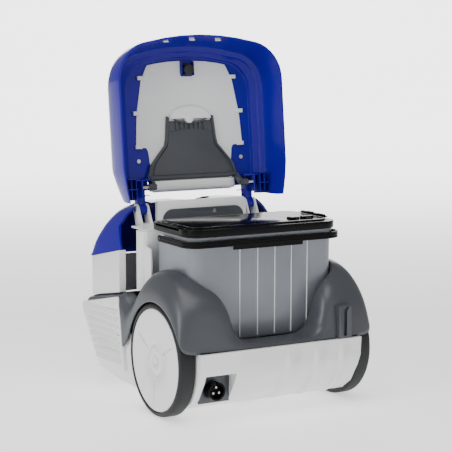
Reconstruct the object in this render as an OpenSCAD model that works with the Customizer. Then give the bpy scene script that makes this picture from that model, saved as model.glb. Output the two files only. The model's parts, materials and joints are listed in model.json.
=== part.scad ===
// Robotic pool cleaner, standing on its wheels with the top lid raised.
// +Y is the direction of travel, +X is to the right, Z = 0 is the pool floor.
// The origin is the middle of the footprint. Millimetres.

/* [Overall] */
// Width across the outer faces of the wheels
track_w = 388; // [380:1:410]
// Distance from the rear face of the hull to the front face
hull_len = 428; // [420:1:450]
// Ground clearance under the belly
belly_z = 22; // [20:1:26]
// Height of the seam between the base and the upper hull
seam_z = 127; // [122:1:132]
// Wall of the moulded hull parts
wall = 3; // [2:0.5:4]

/* [Rear wheels] */
// Radius of the rear wheels
wheel_r = 100; // [94:1:102]
// Width of the tyre
tyre_w = 30; // [24:1:34]
// Height of the rubber outside the hub
tyre_t = 9; // [7:1:12]
// Radius of the stub axle
axle_r = 6; // [5:0.5:8]
// Space between the tyre and its arch
arch_gap = 4; // [3:0.5:6]
// Space between the tyre and the side of the hull
side_gap = 2; // [1.5:0.5:4]
// Gear module of the wheel drive
gear_m = 2; // [2:0.5:2.5]
// Teeth of the drive pinion
pinion_teeth = 14; // [13:1:15]
// Teeth of the ring gear in the wheel
ring_teeth = 56; // [52:4:60]

/* [Front brushes] */
// Radius of the brushes over their blades
brush_r = 42; // [40:1:44]
// Radius of the brush core
brush_core_r = 24; // [20:1:28]
// Half length of the two brushes together
brush_half = 116; // [100:1:118]
// Blades around each brush
brush_blades = 10; // [8:1:14]
// Radius of the motor pulley
motor_pulley_r = 12; // [11:1:14]
// Radius of the brush pulley
brush_pulley_r = 16; // [14:1:18]
// Thickness of the drive belt
belt_t = 2; // [1.5:0.5:2.5]

/* [Canister] */
// Half width of the debris bin
bin_half = 146; // [138:1:147]
// Length of the debris bin
bin_len = 148; // [135:1:149]
// Height of the debris bin
bin_h = 185; // [175:1:190]
// Wall of the debris bin
bin_wall = 2.5; // [2:0.5:3]
// Corner radius of the debris bin
bin_corner = 26; // [20:1:30]
// Height of the black band of the canister lid
rim_h = 12.4; // [10:0.2:14]
// How far the canister lid stands proud of the bin
rim_over = 7; // [6:0.5:8]
// Height of the carry handle's band
handle_h = 12; // [10:0.5:13]
// Radius of the water inlet
inlet_r = 29; // [24:1:32]

/* [Lid] */
// How far past vertical the raised lid leans on its stop
lid_lean = 6; // [3:1:8]
// Half width of the lid at its rim
lid_half = 173; // [168:1:176]
// Distance from the hinge to the free end of the lid
lid_len = 321; // [316:1:326]
// Corner radius of the lid
lid_corner = 72; // [60:1:80]
// Depth of the rim behind the hinge axis
lid_rim = 56; // [52:1:58]
// Height of the crown over the hinge axis
lid_crown = 48; // [44:1:52]
// Radius of the hinge pin
hinge_pin_r = 4; // [3:0.5:5]

/* [Pump] */
// Radius of the impeller
impeller_r = 41; // [36:1:43]
// Bore radius of the pump duct
duct_r = 45; // [44:1:47]
// Radius of the pump motor
motor_r = 34; // [28:1:38]
// Screw thread radius used across the hull
screw_r = 2; // [1.5:0.25:2.5]

/* [Hidden] */
$fn = 64;

// Running clearances
run_gap = 0.05;
move_gap = 0.3;
eps = 0.01;

// Places that follow from the sizes above
rear_y = -hull_len / 2 - 1;
front_y = hull_len / 2 - 1;
wheel_x = track_w / 2;
tyre_in = wheel_x - tyre_w;
hull_half = tyre_in - side_gap;
axle_y = rear_y + wheel_r + 15;
axle_z = wheel_r;
arch_r = wheel_r + arch_gap;
front_half = wheel_x - 7;
arch_front = axle_y + arch_r;

// Drive train
pitch_pinion = gear_m * pinion_teeth / 2;
pitch_ring = gear_m * ring_teeth / 2;
gear_w = 8;
gear_x = tyre_in + 2;
pinion_y = axle_y + pitch_ring - pitch_pinion;
brush_y = front_y - 81;
bay_half = brush_half + 6;
bay_back = brush_y - brush_r - 4;
pulley_x = bay_half + 5;
pulley_w = 10;
drive_motor_r = 20;
drive_motor_in = 70;
shaft_r = 4;

// Canister
floor_z = seam_z + wall;
seat_z = floor_z + 2;
bin_top = seat_z + bin_h;
bin_front = -2;
bin_back = bin_front - bin_len;
bin_mid = (bin_front + bin_back) / 2;
flange_t = 5;
rim_z = bin_top + 0.6;
rim_half = bin_half + rim_over;
rim_back = bin_back - rim_over + 2;
rim_front = bin_front + rim_over;
rim_corner = bin_corner + rim_over - 3;
lid_top = rim_z + rim_h;
inlet_y = -40;
collar_h = 9;
handle_y = -49;
handle_z = bin_top - flange_t - 0.4 - handle_h / 2;
handle_in = rim_half + 1.5;
handle_t = 3.5;
can_hinge_y = rim_front + 4.5;
can_hinge_z = bin_top + 5;
can_pin_r = 1.5;
latch_len = 88;
latch_y = -116;
latch_w = 12;
latch_x = rim_half - 11.5;
latch_z = lid_top + 3.2;
latch_ajar = 18;
well_gap = 3.5;

// Lid
hinge_y = 111;
hinge_z = 337;
arm_in = 107.5;
arm_out = 122.5;
arm_r = 10;
panel_v = 12;
panel_t = 3;
flap_w = 41;
flap_v = -17;
flap_pin_r = 3;
flap_in = 94;
flap_out = 106;

// Front hull
belt_back_y = 45;
belt_back_z = 197;
belt_front_z = 166;
belt_drop = (belt_back_z - belt_front_z) / (front_y - belt_back_y);
nose_back_y = 59;
nose_back_z = 272;
nose_front_z = 242;
nose_top_z = 351;
upper_half = 186;

// Pump
pump_y = front_y - 66;
box_z = 120;
box_top = 190;
box_half = 82;
box_back = 30;
duct_z = box_top + 16;
duct_top = 318;

// ---- helpers -------------------------------------------------------------

// Points along an arc, in degrees
function arc(cx, cy, r, a0, a1, n) =
    [for (i = [0:n]) let (a = a0 + (a1 - a0) * i / n) [cx + r * cos(a), cy + r * sin(a)]];

// Rounded rectangle as points, from x0,y0 to x1,y1
function round_rect(x0, y0, x1, y1, r, n = 8) = concat(
    arc(x1 - r, y1 - r, r, 0, 90, n),
    arc(x0 + r, y1 - r, r, 90, 180, n),
    arc(x0 + r, y0 + r, r, 180, 270, n),
    arc(x1 - r, y0 + r, r, 270, 360, n));

// The outline moved inwards by t: each corner slides along its mitre
function unit(a) = a / norm(a);
function inset(p, t) = let (n = len(p))
    [for (i = [0:n - 1])
        let (a = unit(p[i] - p[(i + n - 1) % n]), b = unit(p[(i + 1) % n] - p[i]))
        let (na = [-a[1], a[0]], nb = [-b[1], b[0]])
        p[i] + (na + nb) * t / (1 + na * nb)];

// Extrudes a side outline given as [y, z] across x0..x1
module across(x0, x1) {
    translate([x0, 0, 0])
        rotate([90, 0, 90])
            linear_extrude(height = x1 - x0)
                children();
}

// Extrudes a rear outline given as [x, z] from y0 to y1
module along(y0, y1) {
    translate([0, y1, 0])
        rotate([90, 0, 0])
            linear_extrude(height = y1 - y0)
                children();
}

// Cylinder along X
module x_rod(x0, x1, y, z, r) {
    translate([x0, y, z])
        rotate([0, 90, 0])
            cylinder(h = x1 - x0, r = r);
}

// Cylinder along Y
module y_rod(x, y0, y1, z, r) {
    translate([x, y1, z])
        rotate([90, 0, 0])
            cylinder(h = y1 - y0, r = r);
}

// Block between two corners
module block(a, b) {
    translate(a)
        cube(b - a);
}

// Both sides of the machine
module both() {
    children();
    mirror([1, 0, 0])
        children();
}

// One side: 1 is right, -1 is left
module side(s) {
    if (s > 0)
        children();
    else
        mirror([1, 0, 0])
            children();
}

// The raised lid's own frame: y is out through the crown, z runs to the free end
module on_lid() {
    translate([0, hinge_y, hinge_z])
        rotate([-lid_lean, 0, 0])
            children();
}

// The wheel arches, from x0 outwards
module arches(r, x0) {
    both()
        x_rod(x0, wheel_x + 10, axle_y, axle_z, r);
}

// ---- hull ----------------------------------------------------------------

// Side outline of the belly between the wheels
belly = [
    [rear_y, seam_z], [rear_y + 2, 95], [rear_y + 11, 75], [rear_y + 33, 41],
    [rear_y + 60, belly_z], [bay_back + 2, belly_z], [front_y - 60, belly_z + 12],
    [front_y - 4, seam_z]];
// Side outline of the wide front of the base
flanks = [
    [axle_y, seam_z], [axle_y, belly_z + 10], [60, belly_z + 10], [front_y - 67, belly_z + 18],
    [front_y - 4, seam_z]];
// Side outline of the belt housing at each end of the brush bay
drop = [
    [brush_y - 56, 60], [brush_y - 56, belly_z + 12], [brush_y - 20, belly_z - 2],
    [brush_y + 22, belly_z - 2], [brush_y + 22, 60]];
drop_in = pulley_x + pulley_w + 1;
inlet_screws = [[-86, -80], [86, -80], [-86, 60], [86, 60]];
pocket_x0 = -150;
pocket_x1 = -90;
pocket_z0 = 34;
pocket_z1 = 88;
pocket_y = rear_y + 37;

module base_solid(t) {
    across(-hull_half + t, hull_half - t)
        polygon(inset(belly, t));
    across(-front_half + t, front_half - t)
        polygon(inset(flanks, t));
}

module roller_bay(t) {
    block([-bay_half - t, bay_back - t, 0], [bay_half + t, front_y + 10, 2 * brush_r + 4 + t]);
}

module base_shell() {
    color("whitesmoke")
        difference() {
            union() {
                base_solid(0);
                both()
                    across(bay_half, drop_in + 2 * wall)
                        polygon(drop);
            }
            arches(arch_r, hull_half);
            // hollow inside, with walls round the arches, the bay and the socket pocket
            difference() {
                union() {
                    base_solid(wall);
                    block([-hull_half + wall, rear_y + 2 * wall, seam_z - 2 * wall],
                        [hull_half - wall, front_y - 4 - 3 * wall, seam_z + 1]);
                    both()
                        block([hull_half - wall - 1, arch_front + wall, seam_z - 2 * wall],
                            [front_half - wall, front_y - 4 - 3 * wall, seam_z + 1]);
                    both()
                        across(bay_half + wall, drop_in)
                            polygon(inset(drop, wall));
                }
                arches(arch_r + wall, hull_half - wall);
                roller_bay(wall);
                // bearings of the brush axle
                both()
                    block([drop_in, brush_y - 8, 0], [drop_in + 2 * wall, brush_y + 8, brush_r + 8]);
                block([pocket_x0 - wall, rear_y - 1, pocket_z0 - wall],
                    [pocket_x1 + wall, pocket_y + wall, pocket_z1 + wall]);
            }
            roller_bay(0);
            block([pocket_x0, rear_y - 1, pocket_z0], [pocket_x1, pocket_y, pocket_z1]);
            // intake opening in the belly, and the shaft holes
            block([-78, inlet_y - 32, belly_z - 1], [78, inlet_y + 90, belly_z + wall + 1]);
            translate([0, inlet_y, belly_z - 1])
                cylinder(h = wall + 2, r = 2 * inlet_r - 3);
            for (p = inlet_screws)
                translate([p[0], p[1], belly_z - 1])
                    cylinder(h = wall + 2, r = screw_r);
            both()
                x_rod(drop_in - 1, pulley_x + pulley_w + 4, brush_y, brush_r, shaft_r - 1);
            both()
                x_rod(hull_half - wall - 1, hull_half + 1, pinion_y, axle_z, shaft_r + 1.5);
            both()
                x_rod(hull_half - wall - 1, hull_half + 1, axle_y, axle_z, axle_r);
            x_rod(-bay_half - wall - 1, bay_half + wall + 1, brush_y, brush_r, shaft_r);
        }
}

module bottom_plate() {
    color("gainsboro")
        difference() {
            block([-95, -100, belly_z - 4], [95, 68, belly_z]);
            translate([0, inlet_y, belly_z - 5])
                cylinder(h = 6, r = 2 * inlet_r - 6);
            for (p = inlet_screws)
                translate([p[0], p[1], belly_z - 5]) {
                    cylinder(h = 6, r = screw_r);
                    cylinder(h = 2.8, r = screw_r * 1.9);
                }
        }
}

// Funnel from the mouth in the belly up to the canister
module intake_duct() {
    color("silver")
        rotate_extrude_at([0, inlet_y, 0])
            polygon([
                [2 * inlet_r - 6, belly_z], [2 * inlet_r - 3, belly_z],
                [inlet_r + 2, 70], [inlet_r + 2, seam_z - 3], [inlet_r + 10, seam_z - 3],
                [inlet_r + 10, seam_z], [inlet_r + 2, seam_z], [inlet_r + 2, floor_z],
                [inlet_r, floor_z], [inlet_r, 70]]);
}

module rotate_extrude_at(p) {
    translate(p)
        rotate_extrude()
            children();
}

module inlet_seal() {
    color("black")
        translate([0, inlet_y, floor_z])
            difference() {
                cylinder(h = seat_z - floor_z - move_gap, r = inlet_r + 7);
                translate([0, 0, -1])
                    cylinder(h = 6, r = inlet_r);
            }
}

// ---- dark upper frame with its fenders -------------------------------------

function belt_z(y) = belt_back_z - belt_drop * (y - belt_back_y);

// Side outline of the frame: rear wall, hill over the wheel, valley, belt
hill = [
    [rear_y + 8, seam_z], [rear_y + 10, 160], [rear_y + 19, 190], [rear_y + 30, 214],
    [rear_y + 52, 230], [rear_y + 78, 240], [rear_y + 104, 250], [rear_y + 128, 254],
    [rear_y + 150, 251], [rear_y + 172, 240], [rear_y + 192, 222], [rear_y + 214, 196],
    [rear_y + 232, 178], [rear_y + 246, 184], [belt_back_y, belt_back_z],
    [front_y, belt_front_z], [front_y - 4, seam_z]];
// Rear outline of the frame: sloping shoulders
shoulders = [
    [-wheel_x - 1, seam_z - 8], [wheel_x + 1, seam_z - 8], [wheel_x + 1, 200],
    [wheel_x - 4, 226], [wheel_x - 14, 243], [wheel_x - 29, 254], [wheel_x - 50, 258],
    [-wheel_x + 50, 258], [-wheel_x + 29, 254], [-wheel_x + 14, 243], [-wheel_x + 4, 226],
    [-wheel_x - 1, 200]];

// Side outline of the side panels
panel_back_y = 48;
panel_side = concat(
    arc(panel_back_y - 14, 60, 9, 190, 265, 4),
    arc(front_y - 76, 62, 10, 275, 325, 4),
    arc(front_y - 12, belt_front_z - 21, 10, -20, 82, 5),
    arc(panel_back_y + 8, belt_back_z - 20, 10, 82, 170, 5));

module frame_solid(t) {
    intersection() {
        across(-wheel_x - 1 + t, wheel_x + 1 - t)
            polygon(inset(hill, t));
        along(rear_y, front_y + 1)
            polygon(inset(shoulders, t));
        translate([0, 0, seam_z - 8])
            linear_extrude(height = 200)
                polygon(round_rect(-wheel_x - 1 + t, rear_y + 5 + t, wheel_x + 1 - t,
                    front_y + 2 - t, 40, 8));
    }
}

// The space the canister sits in
module bin_well(t) {
    translate([0, 0, floor_z])
        linear_extrude(height = 200)
            polygon(round_rect(-bin_half - well_gap - t, bin_back - well_gap - t,
                bin_half + well_gap + t, bin_front + well_gap + 4 + t, bin_corner, 8));
}

// The dip in the rear wall that shows the bin
dip = [
    [-150, 226], [-125, 220], [-108, 208], [-98, 192], [-90, 165], [-78, 147], [-58, 134],
    [58, 134], [78, 147], [90, 165], [98, 192], [108, 208], [125, 220], [150, 226],
    [170, 300], [-170, 300]];

module body_frame() {
    color("dimgray")
        difference() {
            frame_solid(0);
            bin_well(0);
            arches(arch_r, hull_half);
            along(rear_y - 1, bin_back + 10)
                polygon(dip);
            difference() {
                frame_solid(wall);
                bin_well(wall);
                arches(arch_r + wall, hull_half - wall);
                block([-hull_half, rear_y, seam_z - 9], [hull_half, bin_front + 24, floor_z]);
                both()
                    block([front_half - wall, arch_front + 8, 0], [wheel_x + 3, front_y + 9, 400]);
                along(rear_y - 1, bin_back + 10 + wall)
                    polygon(inset(dip, -wall));
            }
            // pocket for each side panel
            both()
                across(front_half, wheel_x + 3)
                    polygon(panel_side);
            // way for the water from the canister to the pump
            block([-100, bin_front + 2, floor_z + 30], [100, bin_front + 17, 300]);
            // open under the front, and open above it inside the white walls
            block([-front_half + wall, bin_front + 24, seam_z - 9],
                [front_half - wall, front_y - 4 - 3 * wall, seam_z + 2 * wall]);
            block([-upper_half + wall, nose_back_y + 4, seam_z], [upper_half - wall, front_y - wall, 220]);
            block([-box_half - 30, 14, floor_z], [box_half + 30, nose_back_y + 5, 230]);
            translate([0, inlet_y, seam_z - 1])
                cylinder(h = 6, r = inlet_r + 2);
        }
}

// ---- white front walls, bulkhead and deck ----------------------------------

wall_side = [
    [nose_back_y, belt_z(nose_back_y)], [front_y - 3, belt_z(front_y - 3)],
    [front_y - 3, nose_front_z - 2], [front_y - 14, nose_front_z], [nose_back_y, nose_back_z]];

module upper_plan(t, height) {
    linear_extrude(height = height)
        polygon(round_rect(-upper_half + t, nose_back_y - 60 + t, upper_half - t,
            front_y - 3 - t, 38 - t, 8));
}

module front_shell() {
    color("whitesmoke")
        difference() {
            intersection() {
                across(-upper_half, upper_half)
                    polygon(wall_side);
                upper_plan(0, 400);
            }
            difference() {
                upper_plan(wall, 400);
                both()
                    block([upper_half - 14, nose_back_y - 1, 0],
                        [upper_half, nose_back_y + wall, 400]);
            }
        }
}

bulk_y = 15.5;
bulk_top = 309;
column_r = 16;

module bulkhead() {
    color("whitesmoke")
        difference() {
            union() {
                block([-box_half - 29, bulk_y, floor_z], [box_half + 29, bulk_y + wall, 205]);
                block([-150, bulk_y, belt_back_z + 5], [150, bulk_y + wall, bulk_top]);
                // columns beside the canister
                both()
                    translate([146, bulk_y + column_r, belt_back_z + 5])
                        cylinder(h = bulk_top - belt_back_z - 5, r = column_r);
                // stiffening fins behind the fenders
                both()
                    across(151, 154)
                        polygon([[bulk_y + 3.5, 202], [1, 202], [-8, 224], [-9, 250], [-6, 280],
                            [bulk_y + 3.5, 284]]);
            }
            both()
                translate([146, bulk_y + column_r, belt_back_z - 1])
                    cylinder(h = bulk_top - belt_back_z - wall + 1, r = column_r - wall);
            // suction window
            block([-100, bulk_y - 1, 165], [100, bulk_y + wall + 1, 270]);
        }
}

deck_y1 = 94;
insert_y = 80;
deck_half = 92.5;

// Deck floor, ridge and the hinge brackets
module deck() {
    color("white")
        difference() {
            union() {
                block([-150, bulk_y, bulk_top], [150, insert_y + 1, bulk_top + wall]);
                across(-deck_half, deck_half)
                    polygon([[insert_y, bulk_top], [deck_y1 + 4, bulk_top], [deck_y1 + 4, 349],
                        [deck_y1, 353], [90, 353], [insert_y + 3.5, 346.5], [insert_y, 339]]);
                both() {
                    for (x = [arm_in - 4 - 2 * move_gap, arm_out + 2 * move_gap])
                        across(x, x + 4)
                            polygon(concat([[84, bulk_top], [hinge_y, bulk_top]],
                                arc(hinge_y, hinge_z, arm_r + 1, 0, 150, 10)));
                    block([deck_half - 1, 62, bulk_top], [arm_out + 5, hinge_y, bulk_top + wall]);
                }
            }
            // hollow behind the ridge
            across(-deck_half + wall, deck_half - wall)
                polygon([[insert_y + wall, bulk_top - 1], [deck_y1 + 1, bulk_top - 1],
                    [deck_y1 + 1, 347], [deck_y1, 350], [91, 350], [insert_y + wall, 339]]);
            both()
                x_rod(arm_in - 6, arm_out + 8, hinge_y, hinge_z, hinge_pin_r);
            y_rod(22, 70, 90, 331, screw_r);
            // hand gap in each shoulder of the floor
            both()
                block([128, 40, bulk_top - 1], [144, 46, bulk_top + wall + 1]);
        }
}

module deck_insert() {
    color("dimgray")
        difference() {
            along(insert_y - 2.5, insert_y)
                polygon(concat([[-88, bulk_top + wall], [88, bulk_top + wall]],
                    arc(66, 318.5, 20, 0, 90, 6), arc(-66, 318.5, 20, 90, 180, 6)));
            y_rod(22, 70, 90, 331, screw_r);
        }
}

module outline_slab(half, y0, y1, r, z0, z1) {
    translate([0, 0, z0])
        linear_extrude(height = z1 - z0)
            polygon(round_rect(-half, y0, half, y1, r, 8));
}

module nose_solid(t) {
    $fn = 32;
    hull() {
        outline_slab(front_half - t, 10, front_y + 3 - t, 46 - t, nose_front_z - 10 - t, 256);
        outline_slab(174 - t, 10, front_y - 2 - t, 56 - t, 288 - t, 290 - t);
        outline_slab(154 - t, 10, front_y - 14 - t, 60 - t, 322 - t, 324 - t);
        outline_slab(130 - t, 10, front_y - 40 - t, 60 - t, 343 - t, 344 - t);
        outline_slab(112 - t, 10, 150, 40, 350 - t, nose_top_z - t);
    }
}

nose_side = [
    [nose_back_y, nose_back_z], [front_y - 14, nose_front_z], [front_y + 8, nose_front_z - 1],
    [front_y + 8, nose_top_z + 2], [deck_y1 + 4, nose_top_z + 2], [hinge_y - 5, 344],
    [hinge_y - 4, 307]];

module nose_cover() {
    color("mediumblue")
        difference() {
            intersection() {
                nose_solid(0);
                across(-wheel_x, wheel_x)
                    polygon(nose_side);
            }
            difference() {
                nose_solid(wall);
                translate([0, pump_y, duct_top + 5])
                    cylinder(h = 60, r = duct_r + 1);
            }
            translate([0, pump_y, duct_top])
                cylinder(h = 60, r = duct_r - 2);
            // notches for the hinge arms
            both()
                block([arm_in - 7, 0, 316], [arm_out + 7, hinge_y + 24, 400]);
        }
}

// Side panel with slanting grooves
module side_panel(s) {
    side(s)
        color("white")
            difference() {
                across(front_half, wheel_x)
                    polygon(panel_side);
                for (i = [0:6])
                    let (z = belt_front_z - 4 - 15 * i)
                    translate([wheel_x - 1.5, panel_back_y + 2 - 2.5 * i, z])
                        rotate([-4, 0, 0])
                            cube([5, front_y - 77 - 9.5 * i, 2.5]);
            }
}

module side_panel_left() {
    side_panel(-1);
}

module side_panel_right() {
    side_panel(1);
}

// ---- power inlet and cable clip --------------------------------------------

socket_x = -124;
socket_z = 58;
socket_r = 16;

module connector_plate() {
    color("dimgray")
        difference() {
            block([pocket_x0, pocket_y - 3, pocket_z0], [pocket_x1, pocket_y, pocket_z1]);
            y_rod(socket_x, pocket_y - 4, pocket_y + 1, socket_z, socket_r - 4);
        }
}

module power_connector() {
    color("black")
        difference() {
            union() {
                y_rod(socket_x, pocket_y - 23, pocket_y - 3, socket_z, socket_r);
                y_rod(socket_x, pocket_y - 3, pocket_y, socket_z, socket_r - 4);
            }
            y_rod(socket_x, pocket_y - 24, pocket_y - 9, socket_z, socket_r - 3);
            block([socket_x - 2, pocket_y - 24, socket_z + socket_r - 4],
                [socket_x + 2, pocket_y - 9, socket_z + socket_r + 1]);
        }
}

module connector_pins() {
    color("silver")
        for (a = [90, 210, 330])
            y_rod(socket_x + 6.5 * cos(a), pocket_y - 19, pocket_y - 9, socket_z + 6.5 * sin(a), 1.8);
}

clip_x = 128;
clip_y = rear_y + 8;

module cable_clip() {
    color("dimgray")
        difference() {
            across(clip_x - 13, clip_x + 13)
                polygon([[clip_y - 8, seam_z], [clip_y, seam_z], [clip_y + 2, 160],
                    [clip_y + 9.8, 186], [clip_y - 8, 186]]);
            block([clip_x - 3, clip_y - 9, seam_z + 5], [clip_x + 3, clip_y - 5, 190]);
            block([clip_x - 8, clip_y - 6, seam_z + 5], [clip_x + 8, clip_y - 2, 190]);
            along(clip_y - 9, clip_y - 2)
                polygon([[clip_x, 172], [clip_x + 14, 190], [clip_x - 14, 190]]);
        }
}

// ---- pump ------------------------------------------------------------------

motor_screws = [[-76, box_back + 8], [76, box_back + 8], [-76, front_y - 25], [76, front_y - 25]];

module box_plan(t, z0, z1) {
    translate([0, 0, z0])
        linear_extrude(height = z1 - z0)
            polygon(round_rect(-box_half + t, box_back + t, box_half - t, front_y - 17 - t,
                14 - t / 2, 5));
}

module motor_box() {
    color("lightgray")
        difference() {
            union() {
                difference() {
                    box_plan(0, box_z, box_top - 2);
                    box_plan(4, box_z + wall, box_top);
                }
                for (p = motor_screws)
                    translate([p[0], p[1], box_z + 1])
                        cylinder(h = box_top - box_z - 3, r = 5);
                // feet on the roof of the brush bay
                for (x = [-60, 60], y = [front_y - 113, front_y - 45])
                    translate([x, y, 2 * brush_r + 4 + wall])
                        cylinder(h = box_z + 1 - 2 * brush_r - 4 - wall, r = 5);
            }
            for (p = motor_screws)
                translate([p[0], p[1], box_top - 20])
                    cylinder(h = 30, r = screw_r);
        }
}

module motor_box_seal() {
    color("black")
        difference() {
            box_plan(0, box_top - 2, box_top);
            box_plan(3.5, box_top - 3, box_top + 1);
            for (p = motor_screws)
                translate([p[0], p[1], box_top - 3])
                    cylinder(h = 6, r = 5);
        }
}

module motor_box_cover() {
    color("lightgray")
        difference() {
            union() {
                box_plan(0, box_top, box_top + 4);
                for (p = motor_screws)
                    translate([p[0], p[1], box_top - 2])
                        cylinder(h = 3, r = 5);
            }
            for (p = motor_screws)
                translate([p[0], p[1], box_top - 3])
                    cylinder(h = 10, r = screw_r);
            translate([0, pump_y, box_top - 1])
                cylinder(h = 10, r = shaft_r + run_gap);
        }
}

module pump_motor() {
    color("slategray")
        difference() {
            union() {
                translate([0, pump_y, box_z + wall])
                    cylinder(h = box_top - box_z - wall - 8, r = motor_r);
                translate([0, pump_y, box_top - 8])
                    cylinder(h = 6, r = 12);
            }
            translate([0, pump_y, box_top - 30])
                cylinder(h = 40, r = shaft_r + run_gap);
        }
}

module control_board() {
    color("darkgreen")
        union() {
            block([-60, box_back + 12, box_z + wall], [60, box_back + 14, box_top - 18]);
            for (x = [-40, -10, 22])
                block([x, box_back + 14, box_z + 30], [x + 18, box_back + 20, box_z + 48]);
        }
}

module impeller() {
    color("white")
        union() {
            translate([0, pump_y, box_top - 28])
                cylinder(h = duct_z - box_top + 50, r = shaft_r);
            translate([0, pump_y, duct_z + 4])
                cylinder(h = 22, r = 12);
            for (a = [0:90:270])
                translate([0, pump_y, duct_z + 15])
                    rotate([0, 0, a])
                        rotate([38, 0, 0])
                            translate([8, -1.2, -8])
                                cube([impeller_r - 12, 2.4, 16]);
        }
}

module pump_duct() {
    color("lightgray")
        difference() {
            union() {
                translate([0, pump_y, duct_z])
                    cylinder(h = duct_top - duct_z, r = duct_r + 2.5);
                for (a = [45:90:315])
                    translate([(duct_r + 1.5) * cos(a), pump_y + (duct_r + 1.5) * sin(a), box_top + 4])
                        cylinder(h = 40, r = 3.5);
            }
            translate([0, pump_y, duct_z])
                cylinder(h = duct_top - duct_z + 1, r = duct_r);
        }
}

module outlet_grille() {
    color("dimgray")
        translate([0, pump_y, duct_top])
            union() {
                difference() {
                    cylinder(h = 4, r = duct_r + 0.5);
                    translate([0, 0, -1])
                        cylinder(h = 6, r = duct_r - 5);
                }
                intersection() {
                    cylinder(h = 3, r = duct_r - 4);
                    for (x = [-36:9:36])
                        translate([x - 1, -duct_r, 0])
                            cube([2, 2 * duct_r, 3]);
                }
            }
}

// ---- drive -----------------------------------------------------------------

module drive_motors() {
    color("slategray")
        both()
            difference() {
                union() {
                    x_rod(drive_motor_in, pulley_x - 6, pinion_y, axle_z, drive_motor_r);
                    block([drive_motor_in + 6, pinion_y - 8, belly_z + wall],
                        [pulley_x - 14, pinion_y + 8, axle_z]);
                }
                x_rod(drive_motor_in + 30, pulley_x, pinion_y, axle_z, shaft_r + run_gap);
            }
}

module axle_stubs() {
    color("silver")
        both()
            difference() {
                union() {
                    x_rod(hull_half - 24, wheel_x - 8, axle_y, axle_z, axle_r);
                    x_rod(hull_half - 12, hull_half - wall, axle_y, axle_z, axle_r + 6);
                }
                x_rod(wheel_x - 20, wheel_x - 7, axle_y, axle_z, screw_r);
            }
}

module brush_axle() {
    color("silver")
        x_rod(-pulley_x - pulley_w - 4, pulley_x + pulley_w + 4, brush_y, brush_r, shaft_r - 1);
}

function belt_angle() = atan2(brush_r - axle_z, brush_y - pinion_y);

module belt_loop(t) {
    hull() {
        translate([pinion_y, axle_z])
            circle(r = motor_pulley_r + move_gap + t);
        translate([brush_y, brush_r])
            circle(r = brush_pulley_r + move_gap + t);
    }
}

module drive_belts() {
    color("black")
        both()
            across(pulley_x + 1, pulley_x + pulley_w - 1)
                difference() {
                    belt_loop(belt_t);
                    belt_loop(0);
                }
}

// Involute gear outline as points: m module, z teeth, root and tip radii
pressure = 20;
function involute(rb, t) = rb * [cos(t) + t * PI / 180 * sin(t), sin(t) - t * PI / 180 * cos(t)];
function roll(rb, r) = sqrt(max(0, pow(r / rb, 2) - 1)) * 180 / PI;
function inv_angle(rb, r) = roll(rb, r) - atan(roll(rb, r) * PI / 180);
function turned(p, a) = [p[0] * cos(a) - p[1] * sin(a), p[0] * sin(a) + p[1] * cos(a)];
function flank_at(z, m, r, play) = let (rp = m * z / 2, rb = rp * cos(pressure))
    90 / z - play + inv_angle(rb, rp) - inv_angle(rb, max(r, rb));
function gear_points(z, m, r_root, r_tip, play, n = 4) =
    [for (k = [0:z - 1], s = [-1, 1], i = [0:n])
        let (j = s < 0 ? i : n - i, r = r_root + (r_tip - r_root) * j / n)
        let (a = 360 * k / z + s * flank_at(z, m, r, play))
        [r * cos(a), r * sin(a)]];

module x_gear(x0, x1, y, z, turn) {
    translate([x0, y, z])
        rotate([90, 0, 90])
            rotate([0, 0, turn])
                linear_extrude(height = x1 - x0)
                    children();
}

hub_rim = wheel_r - tyre_t;

module tyre(s) {
    side(s)
        color("#3c3d40")
            translate([tyre_in, axle_y, axle_z])
                rotate([0, 90, 0])
                    rotate_extrude($fn = 96)
                        polygon([
                            [hub_rim, 0], [wheel_r - 3, 0], [wheel_r, 3],
                            [wheel_r, tyre_w - 5], [wheel_r - 4, tyre_w - 1], [hub_rim, tyre_w - 1]]);
}

module tyre_left() {
    tyre(-1);
}

module tyre_right() {
    tyre(1);
}

module wheel_hub(s) {
    side(s)
        color("gray")
            difference() {
                union() {
                    // rim under the tyre, web, boss and the ring gear's wall
                    difference() {
                        x_rod(tyre_in, wheel_x - 5, axle_y, axle_z, hub_rim);
                        x_rod(tyre_in - 1, wheel_x - 9, axle_y, axle_z, hub_rim - 4);
                    }
                    x_rod(gear_x + gear_w + 2, wheel_x - 5, axle_y, axle_z, axle_r + 8);
                    difference() {
                        x_rod(gear_x, wheel_x - 8, axle_y, axle_z, pitch_ring + 2 * gear_m + 4);
                        x_rod(gear_x + gear_w + 2, wheel_x - 9, axle_y, axle_z, pitch_ring + 2);
                        x_gear(gear_x - 1, gear_x + gear_w + 3, axle_y, axle_z, 0)
                            polygon(gear_points(ring_teeth, gear_m, pitch_ring - 0.8 * gear_m,
                                pitch_ring + 1.2 * gear_m, -0.12));
                    }
                }
                x_rod(tyre_in - 1, wheel_x + 1, axle_y, axle_z, axle_r + run_gap);
            }
}

module wheel_hub_left() {
    wheel_hub(-1);
}

module wheel_hub_right() {
    wheel_hub(1);
}

// Cover disc with three slots
module hub_cap(s) {
    side(s)
        color("gainsboro")
            difference() {
                x_rod(wheel_x - 5, wheel_x, axle_y, axle_z, hub_rim - 0.5);
                for (a = [60, 180, 300])
                    translate([wheel_x - 1.5, axle_y, axle_z])
                        rotate([a, 0, 0])
                            translate([0, -1.5, 26])
                                cube([5, 3, 36]);
                x_rod(wheel_x - 6, wheel_x - 2, axle_y, axle_z, axle_r + 2);
            }
}

module hub_cap_left() {
    hub_cap(-1);
}

module hub_cap_right() {
    hub_cap(1);
}

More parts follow.
